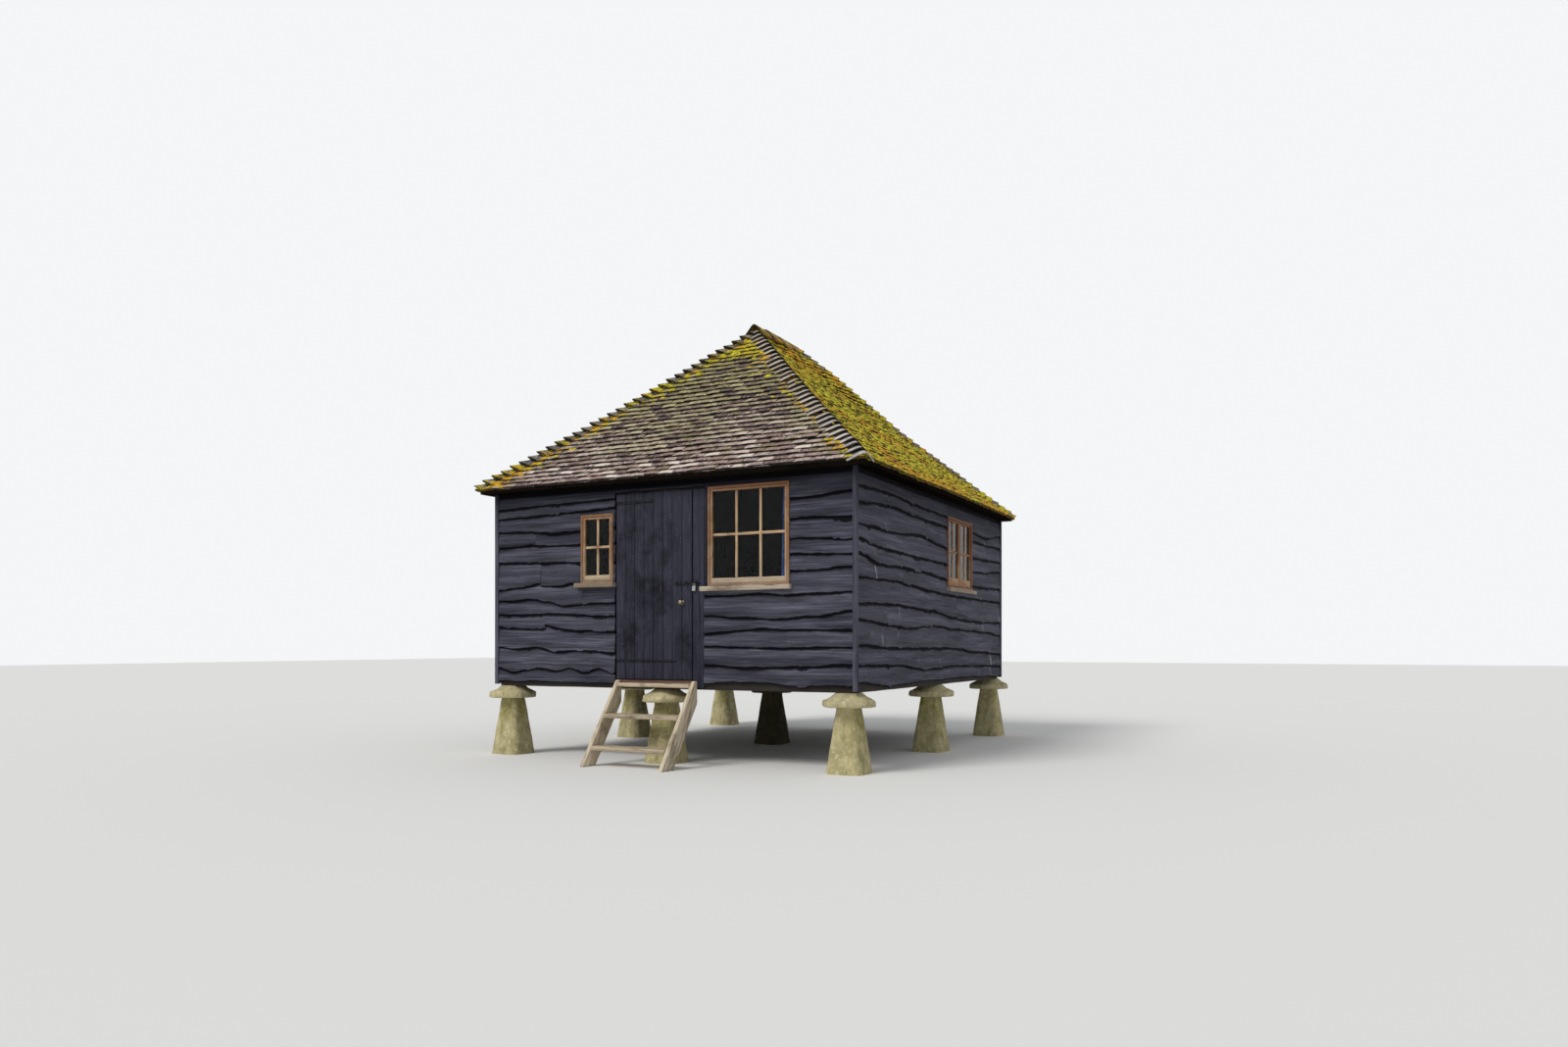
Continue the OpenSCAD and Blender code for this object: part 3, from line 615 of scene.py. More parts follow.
_, wall_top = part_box("front_wall_left")
wall_top = wall_top.z
face_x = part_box("floor")[1].x
face_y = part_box("floor")[1].y
small_low, small_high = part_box("small_window_frame")
large_low, large_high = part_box("large_window_frame")
side_low, side_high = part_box("side_window_frame")
leaf_low, leaf_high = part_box("door_leaf")
door_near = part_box("front_wall_left")[1].x - BESIDE_DOOR
door_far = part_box("door_side_boards")[1].x - JAMB_BOARD


def boards_between(left, right, rows):
    """Each row's boards, as their left end, right end and edge heights."""
    boards = []
    for row in rows:
        ends = [left, *row[1::2], right]
        boards.append(list(zip(ends, ends[1:], row[0::2])))
    return boards


# Rows from the top down: the heights of a board's lower edge, evenly spaced
# from left to right, and between two boards the place of their joint.
FRONT_LEFT = boards_between(-FRONT_HALF, door_near, [
    [[2.64, 2.655, 2.67]],
    [[2.54, 2.545, 2.56, 2.58]],
    [[2.39, 2.385, 2.35, 2.36, 2.37]],
    [[2.22, 2.24], -1.58, [2.23, 2.215]],
    [[2.065, 2.045, 2.02]],
    [[1.77, 1.79, 1.825], -1.51, [1.81, 1.795, 1.825, 1.80, 1.79]],
    [[1.653, 1.648, 1.668, 1.63, 1.585, 1.60], -0.97, [1.612, 1.607]],
    [[1.505, 1.50, 1.47]],
    [[1.37, 1.345], -1.45, [1.38, 1.335, 1.325, 1.31]],
    [[1.156, 1.138, 1.15, 1.107, 1.124, 1.11, 1.094]],
    [[0.93, 0.886, 0.915, 0.928, 0.905, 0.94, 0.893, 0.93, 0.89]],
    [[0.79, 0.785, 0.778]],
])
FRONT_RIGHT = boards_between(door_far, FRONT_HALF, [
    [[2.60, 2.57, 2.552, 2.58]],
    [[2.38, 2.37, 2.36, 2.365, 2.34]],
    [[2.15, 2.155, 2.178, 2.158]],
    [[2.02, 2.016, 2.027, 2.015]],
    [[1.86, 1.862, 1.868, 1.896]],
    [[1.655, 1.66, 1.668, 1.645, 1.655, 1.666]],
    [[1.465, 1.44, 1.418, 1.442, 1.487]],
    [[1.286, 1.325, 1.32, 1.315]],
    [[1.166, 1.146, 1.16]],
    [[0.982, 0.956, 0.975, 0.997]],
    [[0.808, 0.821, 0.793, 0.806]],
])
OVER_DOOR = boards_between(door_near, door_far, [[[leaf_high.z + 0.012] * 3]])
RIGHT_SIDE = boards_between(-SIDE_HALF, SIDE_HALF, [
    [[2.64, 2.657, 2.625, 2.62], 0.19, [2.60, 2.545, 2.51, 2.59]],
    [[2.488, 2.535, 2.507, 2.50], 0.19, [2.48, 2.43, 2.425, 2.432]],
    [[2.294, 2.285, 2.322, 2.265], 0.19, [2.25, 2.23, 2.25]],
    [[2.156, 2.11, 2.10], -1.20, [2.10, 2.09, 2.084], 0.19, [2.07, 2.063, 2.12]],
    [[2.026, 1.95, 1.96, 1.952], -0.70, [1.95, 1.917], 0.19, [1.90, 1.885, 1.90]],
    [[1.803, 1.81], -1.20, [1.80, 1.757, 1.738, 1.735, 1.73]],
    [[1.56, 1.577, 1.55, 1.487], 0.55, [1.475, 1.456, 1.467]],
    [[1.417, 1.38], -1.65, [1.37, 1.348, 1.388, 1.36, 1.35, 1.33, 1.30]],
    [[1.18, 1.155], -1.70, [1.15, 1.14, 1.141, 1.09, 1.058]],
    [[0.99, 0.98, 0.915, 0.94, 0.92, 0.905]],
    [[0.83, 0.775, 0.79, 0.797, 0.785, 0.771]],
])


def plain_rows(half, seed):
    """Rows of boards for a wall out of sight: each row is one board or two."""
    draw = random.Random(seed)
    highest = wall_top - HIGHEST_EDGE
    rows = []
    for number in range(PLAIN_ROWS):
        base = highest - (highest - LOWEST_EDGE) * number / (PLAIN_ROWS - 1)
        joint = draw.uniform(-0.6, 0.6) * half
        spans = [(-half, half)] if number % 3 == 0 else [(-half, joint), (joint, half)]
        rows.append([(a, b, [base + draw.uniform(-0.022, 0.022) for _ in range(3 + int((b - a) / 0.7))])
                     for a, b in spans])
    return rows


def edge_height(row, u, seed):
    """Height of a row's lower edge at u, with the small waves of the bark."""
    board = min(row, key=lambda b: max(b[0] - u, u - b[1], 0))
    left, right, heights = board
    share = min(max((u - left) / (right - left), 0), 1) * (len(heights) - 1)
    place_in = min(int(share), len(heights) - 2)
    blend = share - place_in
    blend = blend * blend * (3 - 2 * blend)
    height = heights[place_in] * (1 - blend) + heights[place_in + 1] * blend
    at = Vector((u, seed * 1.7, 0))
    notch = EDGE_NOTCH * max(0, rough(at, 4.5, seed + 9) - 0.42)
    bark = BARK_WAVE * rough(at, 11, seed + 5) + BARK_ROUGH * noise.noise(at * 30)
    return height - notch + EDGE_WAVE * rough(at, 3.4, seed) + bark


def trimmed(bm, cuts):
    """A closed copy of a bmesh without what lies in front of each plane."""
    copy = bm.copy()
    for point, normal in cuts:
        bmesh.ops.bisect_plane(copy, geom=copy.verts[:] + copy.edges[:] + copy.faces[:],
                               plane_co=point, plane_no=normal, clear_outer=True)
        rim = [e for e in copy.edges if e.is_boundary]
        if rim:
            bmesh.ops.holes_fill(copy, edges=rim, sides=0)
    if not copy.faces:
        copy.free()
        return None
    return copy


def round_holes(part, holes):
    """What is left of a board round the openings, as separate parts."""
    parts = [part]
    for (left, low), (right, high) in holes:
        cut = []
        for piece in parts:
            us = [v.co.x for v in piece.verts]
            zs = [v.co.y for v in piece.verts]
            if max(us) <= left or min(us) >= right or max(zs) <= low or min(zs) >= high:
                cut.append(piece)
                continue
            beside = [[((left, 0, 0), (1, 0, 0))], [((right, 0, 0), (-1, 0, 0))]]
            within = [((left, 0, 0), (-1, 0, 0)), ((right, 0, 0), (1, 0, 0))]
            beside += [within + [((0, low, 0), (0, 1, 0))], within + [((0, high, 0), (0, -1, 0))]]
            for planes in beside:
                kept = trimmed(piece, planes)
                if kept:
                    cut.append(kept)
            piece.free()
        parts = cut
    return parts


def quarter_turn(quarter):
    """The turn that stands a front drawing on the right, back or left side."""
    return Matrix.Rotation(math.radians(90 * quarter), 4, "Z")


def waney_boards(bm, rows, quarter, holes, seed):
    """The boards of some rows, drawn flat as seen from outside, then stood up."""
    turn = quarter_turn(quarter)
    face = face_x if quarter % 2 else face_y
    for number, row in enumerate(rows):
        for left, right, heights in row:
            seed += 1
            part = divided_box((max(2, int((right - left) / COLUMN)), BOARD_PARTS, 1))
            wear_and_edge_shade = part.verts.layers.float.new("edge")
            covered = part.verts.layers.float.new("shade")
            for v in part.verts:
                u = left + BOARD_GAP / 2 + (right - left - BOARD_GAP) * (v.co.x + 0.5)
                low = edge_height(row, u, seed)
                top = edge_height(rows[number - 1], u, seed) + BOARD_LAP if number else wall_top - 0.001
                tall = top - low
                lap = tall - BOARD_LAP
                station = round((v.co.y + 0.5) * BOARD_PARTS)
                up = (0, 0.008, 0.015, lap * 0.5, lap - SHADE_STARTS, lap - SHADE_FULL, tall)[station]
                out = BOARD_OUT + (BOARD_TOP_OUT - BOARD_OUT) * up / tall
                out += BOARD_WARP * rough(Vector((u, low + up, seed)), 1.7, seed)
                v[wear_and_edge_shade] = EDGE_BLACK[station]
                v[covered] = LAP_SHADE[station]
                if v.co.z > 0:
                    out = min(out, BOARD_OUT) - EDGE_EASE[station]
                else:
                    out = max(out - BOARD_THICK, OFF_WALL)
                    up += 0.004 if station == 0 else 0
                v.co = Vector((u, low + up, out))
            tone = 0.4 * random.Random(seed).random() + (OTHER_WALLS_PALER if quarter else 0.0)
            mark(part, (1, 0, 0), seed, tone)
            for piece in round_holes(part, holes):
                for v in piece.verts:
                    v.co = turn @ Vector((v.co.x, -face - v.co.z, v.co.y))
                add_part(bm, piece)


def boarding(side, *walls):
    """The boarding of one side, from the rows, openings and seed of each wall."""
    bm = bmesh.new()
    for rows, holes, seed in walls:
        waney_boards(bm, rows, QUARTERS[side], holes, seed)
    bmesh.ops.recalc_face_normals(bm, faces=bm.faces)
    make_piece(side + "_boards", bm, black_boards, [side + "_boards"])


black_boards, tree, shader = finish("black_boards", Roughness=0.7, Specular_IOR_Level=0.03)
along = put(tree, "UVMap", uv_map="grain").outputs[0]
here = on_piece(tree)
tone = layer(tree, "tone")
lines = place(tree, grain, {"Vector": along, "Along": 1.0, "Across": 46.0, "Bend": 0.02})
fine = lines.outputs["Fine"]
drawn_out = stretched(tree, along, (0.16, 2.4, 1.0))
hanging = stretched(tree, here, (1.0, 1.0, 0.24))
colour = mixed(tree, tone, tint("202028"), tint("4f4e59"))
colour = stain(tree, colour, lines.outputs["Streaks"], "444452", 0.5)
# Paler grey-blue streaks along the grain: faded stain and painted sheen.
fade_and_sheen = ranged(tree, spots(tree, drawn_out, 5.0, 0.35, 0.7), low=0.1, high=0.72)
colour = stain(tree, colour, times(tree, fine, fade_and_sheen), "838496")
colour = stain(tree, colour, spots(tree, drawn_out, 7.0, 0.5, 0.7), "18181f", 0.5)
chalky = times(tree, spots(tree, hanging, 10.0, 0.59, 0.74), spots(tree, here, 1.9, 0.50, 0.57))
chalk = times(tree, chalky, ranged(tree, tone, 0.4, 0.55, 0.05, 0.6))
colour = stain(tree, colour, chalk, "c2c4ca")
# Painted shade: the boards darken towards the eaves.
colour = stain(tree, colour, ranged(tree, height_of(tree, here), 2.3, 2.8, high=0.7), "1a1a22")
# Lower edges painted black: dark bark, and painted shade under the edge.
colour = stain(tree, colour, layer(tree, "edge"), "08080a", 0.92)
# Painted shade in the lap under the board above, broken by the grain.
damp_and_lap_shade = times(tree, layer(tree, "shade"), ranged(tree, fine, low=0.8))
join(tree, shader, {"Base Color": stain(tree, colour, damp_and_lap_shade, "060608")})
bumpy(tree, shader, fine, 0.002)


def hole(low, high, axis):
    """A window's place in a wall's own drawing, with its sill under it."""
    return ((low[axis], low.z - SILL_TALL), (high[axis], high.z))


leaf_head = leaf_high.z + OVER_LEAF
over_jamb = ((door_near, large_low.z), (large_low.x, leaf_head))
small_hole, large_hole = hole(small_low, small_high, 0), hole(large_low, large_high, 0)
boarding("front", (FRONT_LEFT, [small_hole], 400), (OVER_DOOR, [], 440),
         (FRONT_RIGHT, [large_hole, over_jamb], 450))
boarding("right", (RIGHT_SIDE, [hole(side_low, side_high, 1)], 500))
boarding("back", (plain_rows(face_x, seed=31), [], 600))
boarding("left", (plain_rows(face_y, seed=32), [], 700))


# Corner battens, boards beside the door, and the bare plank.
# Planed battens close the boards' ends at the corners. Two upright boards
# stand between door and large window. The plank under the door is bare.
SINGLE_BOARD = 0.09
BATTEN_SEEDS = 800
JAMB_SEEDS = 810
PLANK_SEED = 820

sticks = bmesh.new()
for number, (low, high) in enumerate(solids("corner_battens")):
    timber(sticks, low, high, BATTEN_SEEDS + number, cuts=10, wear=0.001)
make_piece("upright_battens", sticks, black_boards, ["corner_battens"])

black_door = wood("black_door", "14141c", "272733", "4e4e5f", rough_at=0.6, depth=0.002, across=70.0,
                  gloss=0.1, cracks=0.4, knots=0.28)
sticks = bmesh.new()
for number, (low, high) in enumerate(solids("door_side_boards")):
    if high.x - low.x < SINGLE_BOARD:
        timber(sticks, low, high, JAMB_SEEDS + number, edge=0.003)
    else:
        timber(sticks, low, Vector((door_far, high.y, high.z)), JAMB_SEEDS + 2, edge=0.003)
        timber(sticks, Vector((door_far + 0.001, low.y, large_low.z)), high, JAMB_SEEDS + 3, edge=0.003)
# Painted shade: these boards take the darker door finish, for the shade of the recess beside the door.
make_piece("side_boards", sticks, black_door, ["door_side_boards"])

red_plank = wood("red_plank", "3c2a22", "5e4438", "82665a", gloss=0.2)
plank = bmesh.new()
timber(plank, *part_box("door_sill"), PLANK_SEED, edge=0.003, cuts=8, wear=0.002)
make_piece("bare_plank", plank, red_plank, ["door_sill"])


# Windows.
# Each is an oak frame with its casement inside it, thin glazing bars, and a
# thick sill. The oak was oiled once and has gone grey in places.
FRAME_EDGE = 0.026
CASEMENT_GAP = 0.002
CASEMENT_INSIDE = 0.012
BAR = 0.026
BAR_INSIDE = 0.007
BAR_ROUND = 0.005
BAR_SHARE = 0.55
BAR_SUNK = 0.001
FRAME_TONE = 0.1
CASEMENT_TONE = 0.75
RAIL_TONE = 1.0
BAR_TONE = 1.5
SILL_SEEDS = 990


def facing_front(turn_back, corners):
    """A box turned back to the front, as its lowest and highest corner."""
    ends = [turn_back @ corner for corner in corners]
    return Vector(map(min, *ends)), Vector(map(max, *ends))


def window(name, node, panes, side, seed, material, bottom_rail=0.0, casement_back=0.007):
    """Frame, casements and bars of a window, drawn facing the front."""
    turn = quarter_turn(QUARTERS[side])
    low, high = facing_front(turn.inverted(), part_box(node))
    lights = []
    for glass in solids("window_glass"):
        light_low, light_high = facing_front(turn.inverted(), glass)
        if low.x < light_low.x < high.x and low.y < light_low.y < high.y:
            lights.append((light_low, light_high))
    lights.sort(key=lambda light: light[0].x)
    bm = bmesh.new()

    def stick(x0, x1, z0, z1, recess, depth, tone, edge=0.003):
        nonlocal seed
        seed += 1
        timber(bm, Vector((x0, low.y + recess, z0)), Vector((x1, low.y + depth, z1)), seed, edge, tone=tone)

    full = high.y - low.y
    inner = full - CASEMENT_INSIDE
    bar_out = full / 2 - (full / 2 - casement_back) * BAR_SHARE
    bar_in = full / 2 + BAR_INSIDE
    left_side, right_side = low.x + FRAME_EDGE, high.x - FRAME_EDGE
    bottom, top = low.z + FRAME_EDGE, high.z - FRAME_EDGE
    stick(low.x, left_side, low.z, high.z, 0, full, FRAME_TONE)
    stick(right_side, high.x, low.z, high.z, 0, full, FRAME_TONE)
    stick(left_side, right_side, top, high.z, 0, full, FRAME_TONE)
    stick(left_side, right_side, low.z, bottom, 0, full, FRAME_TONE)
    foot, head = bottom + CASEMENT_GAP, top - CASEMENT_GAP
    between = [(one[1].x + other[0].x) / 2 for one, other in zip(lights, lights[1:])]
    lefts = [left_side + CASEMENT_GAP] + [x + CASEMENT_GAP / 2 for x in between]
    rights = [x - CASEMENT_GAP / 2 for x in between] + [right_side - CASEMENT_GAP]
    across, rows = panes
    for (light_low, light_high), left, right in zip(lights, lefts, rights):
        wide, tall = light_high.x - light_low.x, light_high.z - light_low.z
        stick(left, light_low.x, foot, head, casement_back, inner, CASEMENT_TONE)
        stick(light_high.x, right, foot, head, casement_back, inner, CASEMENT_TONE)
        stick(light_low.x, light_high.x, foot, light_low.z + bottom_rail, casement_back, inner, RAIL_TONE)
        stick(light_low.x, light_high.x, light_high.z, head, casement_back, inner, CASEMENT_TONE)
        for i in range(1, across):
            x = light_low.x + wide * i / across
            stick(x - BAR / 2, x + BAR / 2, light_low.z, light_high.z, bar_out, bar_in, BAR_TONE, BAR_ROUND)
        for i in range(1, rows):
            z = light_low.z + tall * i / rows
            stick(light_low.x, light_high.x, z - BAR / 2, z + BAR / 2, bar_out + BAR_SUNK,
                  bar_in - BAR_SUNK, BAR_TONE, BAR_ROUND)
    bmesh.ops.transform(bm, matrix=turn, verts=bm.verts)
    make_piece(name, bm, material, [node])


front_oak = wood("front_oak", "5a3820", "93643c", "cdb08a", rough_at=0.75, weathered=1.95, cracks=0.6)
side_oak = wood("side_oak", "613824", "945f3d", "bd936a", rough_at=0.72, weathered=1.6, cracks=0.5)
window("small_casement", "small_window_frame", panes=(2, 2), side="front", seed=900, material=front_oak)
window("large_casement", "large_window_frame", panes=(3, 2), side="front", seed=930, material=front_oak)
window("side_casements", "side_window_frame", panes=(2, 2), side="right", seed=960, material=side_oak,
       bottom_rail=0.035, casement_back=0.016)

grey_oak = wood("grey_oak", "74644f", "ad9e8a", "eee0cf", rough_at=0.9, depth=0.004, gloss=0.2, cracks=0.8)
sills = bmesh.new()
for number, (low, high) in enumerate(solids("window_sills")):
    timber(sills, low, high, SILL_SEEDS + number, edge=0.006, cuts=8, wear=0.002)
make_piece("weathered_sills", sills, grey_oak, ["window_sills"])

glass, tree, shader = finish("old_glass", Roughness=0.02, Transmission_Weight=1.0, IOR=1.2)
here = on_piece(tree)
join(tree, shader, {"Base Color": mixed(tree, spots(tree, here, 6.0), tint("c3cec9"), tint("d5dddd"))})
bumpy(tree, shader, noisy(tree, here, 3.0), 0.002, 0.4)
dress("window_glass", glass)


# Curtain and rail.
# A plain blue cotton curtain, drawn to the right of the large window, hangs
# in folds from a thin rail on the wall's inner face.
FOLDS = 4
FOLD_COLUMNS = 48
FOLD_ROWS = 24
MEASURED_COLUMNS = FOLD_COLUMNS * 8
TOP_SPREAD = 0.008
HEM_SPREAD = 0.016
RAIL_SEED = 998

low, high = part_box("curtain")
cloth = bmesh.new()
bmesh.ops.create_grid(cloth, x_segments=FOLD_COLUMNS, y_segments=FOLD_ROWS, size=0.5)
depth = (high.y - low.y) / 2 - 0.001
for column in range(MEASURED_COLUMNS + 1):
    share = column / MEASURED_COLUMNS
for v in cloth.verts:
    share = v.co.x + 0.5
    drop = v.co.y + 0.5
    left = low.x - TOP_SPREAD - HEM_SPREAD * (1 - drop)
    x = left + (high.x - left) * share
    y = (low.y + high.y) / 2 + depth * math.sin(math.tau * FOLDS * share + 0.6 * math.sin(2.2 * drop))
    v.co = Vector((x, y, low.z + (high.z - low.z) * drop))
bmesh.ops.recalc_face_normals(cloth, faces=cloth.faces)
blue_cotton, tree, shader = finish("blue_cotton", Roughness=0.9)
here = on_piece(tree)
weave = noisy(tree, stretched(tree, here, (900.0, 900.0, 500.0)), 1.0)
colour = mixed(tree, weave, tint("5f78c4"), tint("8aa0e0"))
join(tree, shader, {"Base Color": stain(tree, colour, spots(tree, here, 4.0), "4a60a8")})
bumpy(tree, shader, weave, 0.0006)
curtain = make_piece("folded_curtain", cloth, blue_cotton, ["curtain"], smooth=180)

rail = bmesh.new()
timber(rail, *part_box("curtain_rail"), RAIL_SEED, edge=0.006)
make_piece("curtain_rod", rail, shadow_black_oak, ["curtain_rail"])


# Roof slopes under the tiles.
# One dark shell per slope stands for rafters and battens: the CAD solid, cut
# back a little at the eaves, so that only tiles reach the eaves line.
EAVES_BACK = 0.05
DECK_SINKS = 0.010
DECK_SEEDS = 1000

front_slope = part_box("front_roof_slope")
back_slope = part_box("back_roof_slope")
right_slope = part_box("right_roof_slope")
eaves_x, eaves_y = right_slope[1].x, back_slope[1].y
ridge_near, ridge_far = front_slope[1].y, back_slope[0].y

# Painted shade: the shells are coloured near-black, for the shadow under the eaves and in the joints between
# the tiles.
eaves_shadow_oak = wood("eaves_shadow_oak", "14110f", "1d1915", "28221c", gloss=0.0)
for side, quarter in QUARTERS.items():
    reach = (eaves_y if quarter % 2 == 0 else eaves_x) - EAVES_BACK
    outward = quarter_turn(quarter) @ Vector((0, -1, 0))
    whole = solid_copy(side + "_roof_slope")
    for v in {v for face in whole.faces if face.normal.z > 0.3 for v in face.verts}:
        v.co.z -= DECK_SINKS
    shell = trimmed(whole, [(outward * reach, outward)])
    whole.free()
    mark(shell, outward, DECK_SEEDS + quarter)
    make_piece(side + "_roof_deck", shell, eaves_shadow_oak)


# Roof tiles.
# Handmade plain clay tiles in courses, cambered and uneven, half a tile over
# each other, nailed to battens and cut at the hips. The right slope is mossy.
COURSES = 33
TILE_W = 0.165
TILE_L = 0.262
TILE_T = 0.015
TILE_OVER = 0.018
TILE_GAP = 0.004
CAMBER = 0.0035
HIP_GAP = 0.008
LIFT = (-0.0015, 0.004)
SLIP_UP = (0.001, 0.013)
LOOSE_SHARE = 0.06
LOOSE_LIFT = 0.004
SLIPPED_SHARE = 0.05
SLIPPED = 0.014
SKEW = 0.03
ROLL = 0.028
FAR_BULGE = 0.058
FAR_SAG = 0.012
BULGE_REACH = 0.9
LINE_JITTER = 0.002
EAVES_SET_BACK = 0.007
UNDER_TILT = 0.6
SLOPE_WAVE = 0.008
TAIL_CHIPS = 0.006
RIDGE_GAP = 0.003
EAVES_INSIDE = 0.002
ABOVE_ROOF = 9
LEAST_TILE = 0.012
TUFTS_INSIDE = 0.05

# Five places up a tile, and how far the tile above it shades each of them.
TILE_STATIONS = (0, 0.006, 0.058, 0.078, TILE_L)
TILE_SHADE = (0.0, 0.0, 0.0, 1.0, 1.0)


def add_layers(bm, *names):
    """New values for a bmesh to store at its corners."""
    return [bm.verts.layers.float.new(name) for name in names]


def tile_shape():
    """One plain tile, its tail at y = 0 and its upper face at z = 0."""
    bm = divided_box((4, 4, 1))
    shaded, *_ = add_layers(bm, "shade", "tone", "moss", "edge")
    for v in bm.verts:
        station = round((v.co.y + 0.5) * 4)
        y = TILE_STATIONS[station]
        v[shaded] = TILE_SHADE[station]
        across = v.co.x * 2
        arch = -CAMBER * across * across - CAMBER * (1 - y / TILE_L) ** 2
        ease = -0.002 if station == 0 and v.co.z > 0 else 0
        v.co = Vector((v.co.x * (TILE_W - TILE_GAP), y, arch + ease - (TILE_T if v.co.z < 0 else 0)))
    return bm


def stored(bm, name):
    """A bmesh kept as a mesh, to copy many times."""
    mesh = bpy.data.meshes.new(name)
    bm.to_mesh(mesh)
    bm.free()
    return mesh


def slope_profile(side, out, run, middle):
    """Heights of a slope's upper face at each course, read off the solid."""
    bm = solid_copy(side + "_roof_slope")
    tree = BVHTree.FromBMesh(bm)
    bm.free()
    turn = quarter_turn(QUARTERS[side])
    heights = []
    for course in range(COURSES):
        point = turn @ Vector((middle, -(out - run * (course + 0.02) / COURSES), ABOVE_ROOF))
        hit = tree.ray_cast(point, Vector((0, 0, -1)))
        heights.append(hit[0].z)
    return heights + [2 * heights[-1] - heights[-2]]


def moss_on(side, u, share, left, right):
    """How much moss grows at a place on a slope, from 0 to 1."""
    from_left, from_right = u - left, right - u
    patch = 0.5 + 0.5 * rough(Vector((u, share * 3, 0)), 1.1, QUARTERS[side])
    if side == "right":
        return 0.78 + 0.35 * patch - 0.25 * math.exp(-(1 - share) / 0.08) * (1 - patch)
    if side == "front":
        edge_growth = (0.95 + 0.5 * math.exp(-share / 0.3)) * math.exp(-from_left / 0.3)
        edge_growth += 1.25 * math.exp(-from_right / 0.22)
        return edge_growth + 0.36 * math.exp(-(1 - share) / 0.13) + 0.34 * patch - 0.10
    return 0.32 + 0.4 * patch + 0.3 * math.exp(-min(from_left, from_right) / 0.3)


def far_hip_rise(share):
    """How far the roof bulges at the far right hip, from its corner up."""
    step = min(max((share - 0.5) / 0.35, 0), 1)
    return FAR_BULGE * step * step * (3 - 2 * step) - FAR_SAG * max(0, 1 - share / 0.3)


def bulge(side, u, share, left, right):
    """The same bulge as it runs out over the two slopes beside that hip."""
    away = {"right": right - u, "back": u - left}.get(side, BULGE_REACH)
    return far_hip_rise(share) * max(0, 1 - away / BULGE_REACH)


def tile_slope(side, out, run, left_ends, right_ends, seed):
    """All tiles of a slope, drawn facing the front and turned into place."""
    quarter = QUARTERS[side]
    draw = random.Random(seed)
    heights = slope_profile(side, out, run, (left_ends[1] + right_ends[1]) / 2)
    bm = bmesh.new()
    template = stored(tile_shape(), "tile")
    left_hip = Vector((-run, left_ends[1] - left_ends[0], 0)).normalized()
    right_hip = Vector((run, right_ends[0] - right_ends[1], 0)).normalized()
    cuts = [(Vector((left_ends[0], -out, 0)) - left_hip * HIP_GAP, left_hip),
            (Vector((right_ends[0], -out, 0)) - right_hip * HIP_GAP, right_hip),
            (Vector((0, -out + run - RIDGE_GAP, 0)), Vector((0, 1, 0)))]
    places = []
    for course in range(-1, COURSES):
        under = course < 0
        low = heights[max(course, 0)]
        share = max(course, 0) / COURSES
        rise = heights[max(course, 0) + 1] - low
        pitch = math.atan2(rise, run / COURSES)
        gauge = math.hypot(rise, run / COURSES)
        tilt = math.asin(TILE_T / gauge)
        left = left_ends[0] + (left_ends[1] - left_ends[0]) * share
        right = right_ends[0] + (right_ends[1] - right_ends[0]) * share
        offset = 0.5 * (course % 2)
        for i in range(math.floor(left / TILE_W) - 1, math.ceil(right / TILE_W) + 2):
            u = (i + offset) * TILE_W + draw.uniform(-LINE_JITTER, LINE_JITTER)
            tone = draw.random()
            lift = draw.uniform(*LIFT) + (LOOSE_LIFT if draw.random() < LOOSE_SHARE else 0)
            back = draw.uniform(*SLIP_UP) - (SLIPPED if course > 0 and draw.random() < SLIPPED_SHARE else 0)
            back += EAVES_SET_BACK if course <= 0 else 0
            skew = draw.uniform(-SKEW, SKEW)
            roll = draw.uniform(-ROLL, ROLL)
            wave = SLOPE_WAVE * rough(Vector((u, share * 4, quarter)), 1.3, 3)
            if u + TILE_W < left or u - TILE_W > right:
                continue
            lie = Vector((u, -out + run * share + back * math.cos(pitch), low + back * math.sin(pitch)))
            up = Vector((0, -math.sin(pitch), math.cos(pitch)))
            lie += up * (TILE_OVER + lift + wave + bulge(side, u, share, left, right)
                         - (TILE_T + 0.001 if under else 0))
            slant = pitch - tilt * (UNDER_TILT if under else 1)
            matrix = Matrix.Translation(lie) @ Matrix.Rotation(slant, 4, "X")
            matrix = matrix @ Matrix.Rotation(skew, 4, "Z") @ Matrix.Rotation(roll, 4, "Y")
            part = bmesh.new()
            part.from_mesh(template)
            growth = moss_on(side, u, share, left, right)
            toned, mossy, wear_and_edge_shade = (part.verts.layers.float.get(x) for x in ("tone", "moss", "edge"))
            for v in part.verts:
                v[toned] = tone
                v[mossy] = growth
                # Tails marked for black: dirt on the edge, and painted shade under it.
                if v.co.y < 0.001:
                    v[wear_and_edge_shade] = 1.0
                    v.co.y += TAIL_CHIPS * noise.noise(Vector((v.co.x * 30, u * 9, course)))
                v.co = matrix @ v.co
                v.co.y = max(v.co.y, EAVES_INSIDE - out)
            crossed = [cut for cut in cuts if any((v.co - cut[0]).dot(cut[1]) > 0 for v in part.verts)]
            if crossed:
                kept = trimmed(part, crossed)
                part.free()
                part = kept
            if part and max(v.co.z for v in part.verts) - min(v.co.z for v in part.verts) > LEAST_TILE:
                add_part(bm, part)
                if not under and left + TUFTS_INSIDE < u < right - TUFTS_INSIDE:
                    places += [(matrix, growth)] * (2 if course == 0 else 1)
    bpy.data.meshes.remove(template)
    bmesh.ops.recalc_face_normals(bm, faces=bm.faces)
    bmesh.ops.transform(bm, matrix=quarter_turn(quarter), verts=bm.verts)
    make_piece(side + "_roof_tiles", bm, clay, [side + "_roof_slope"])
    return places


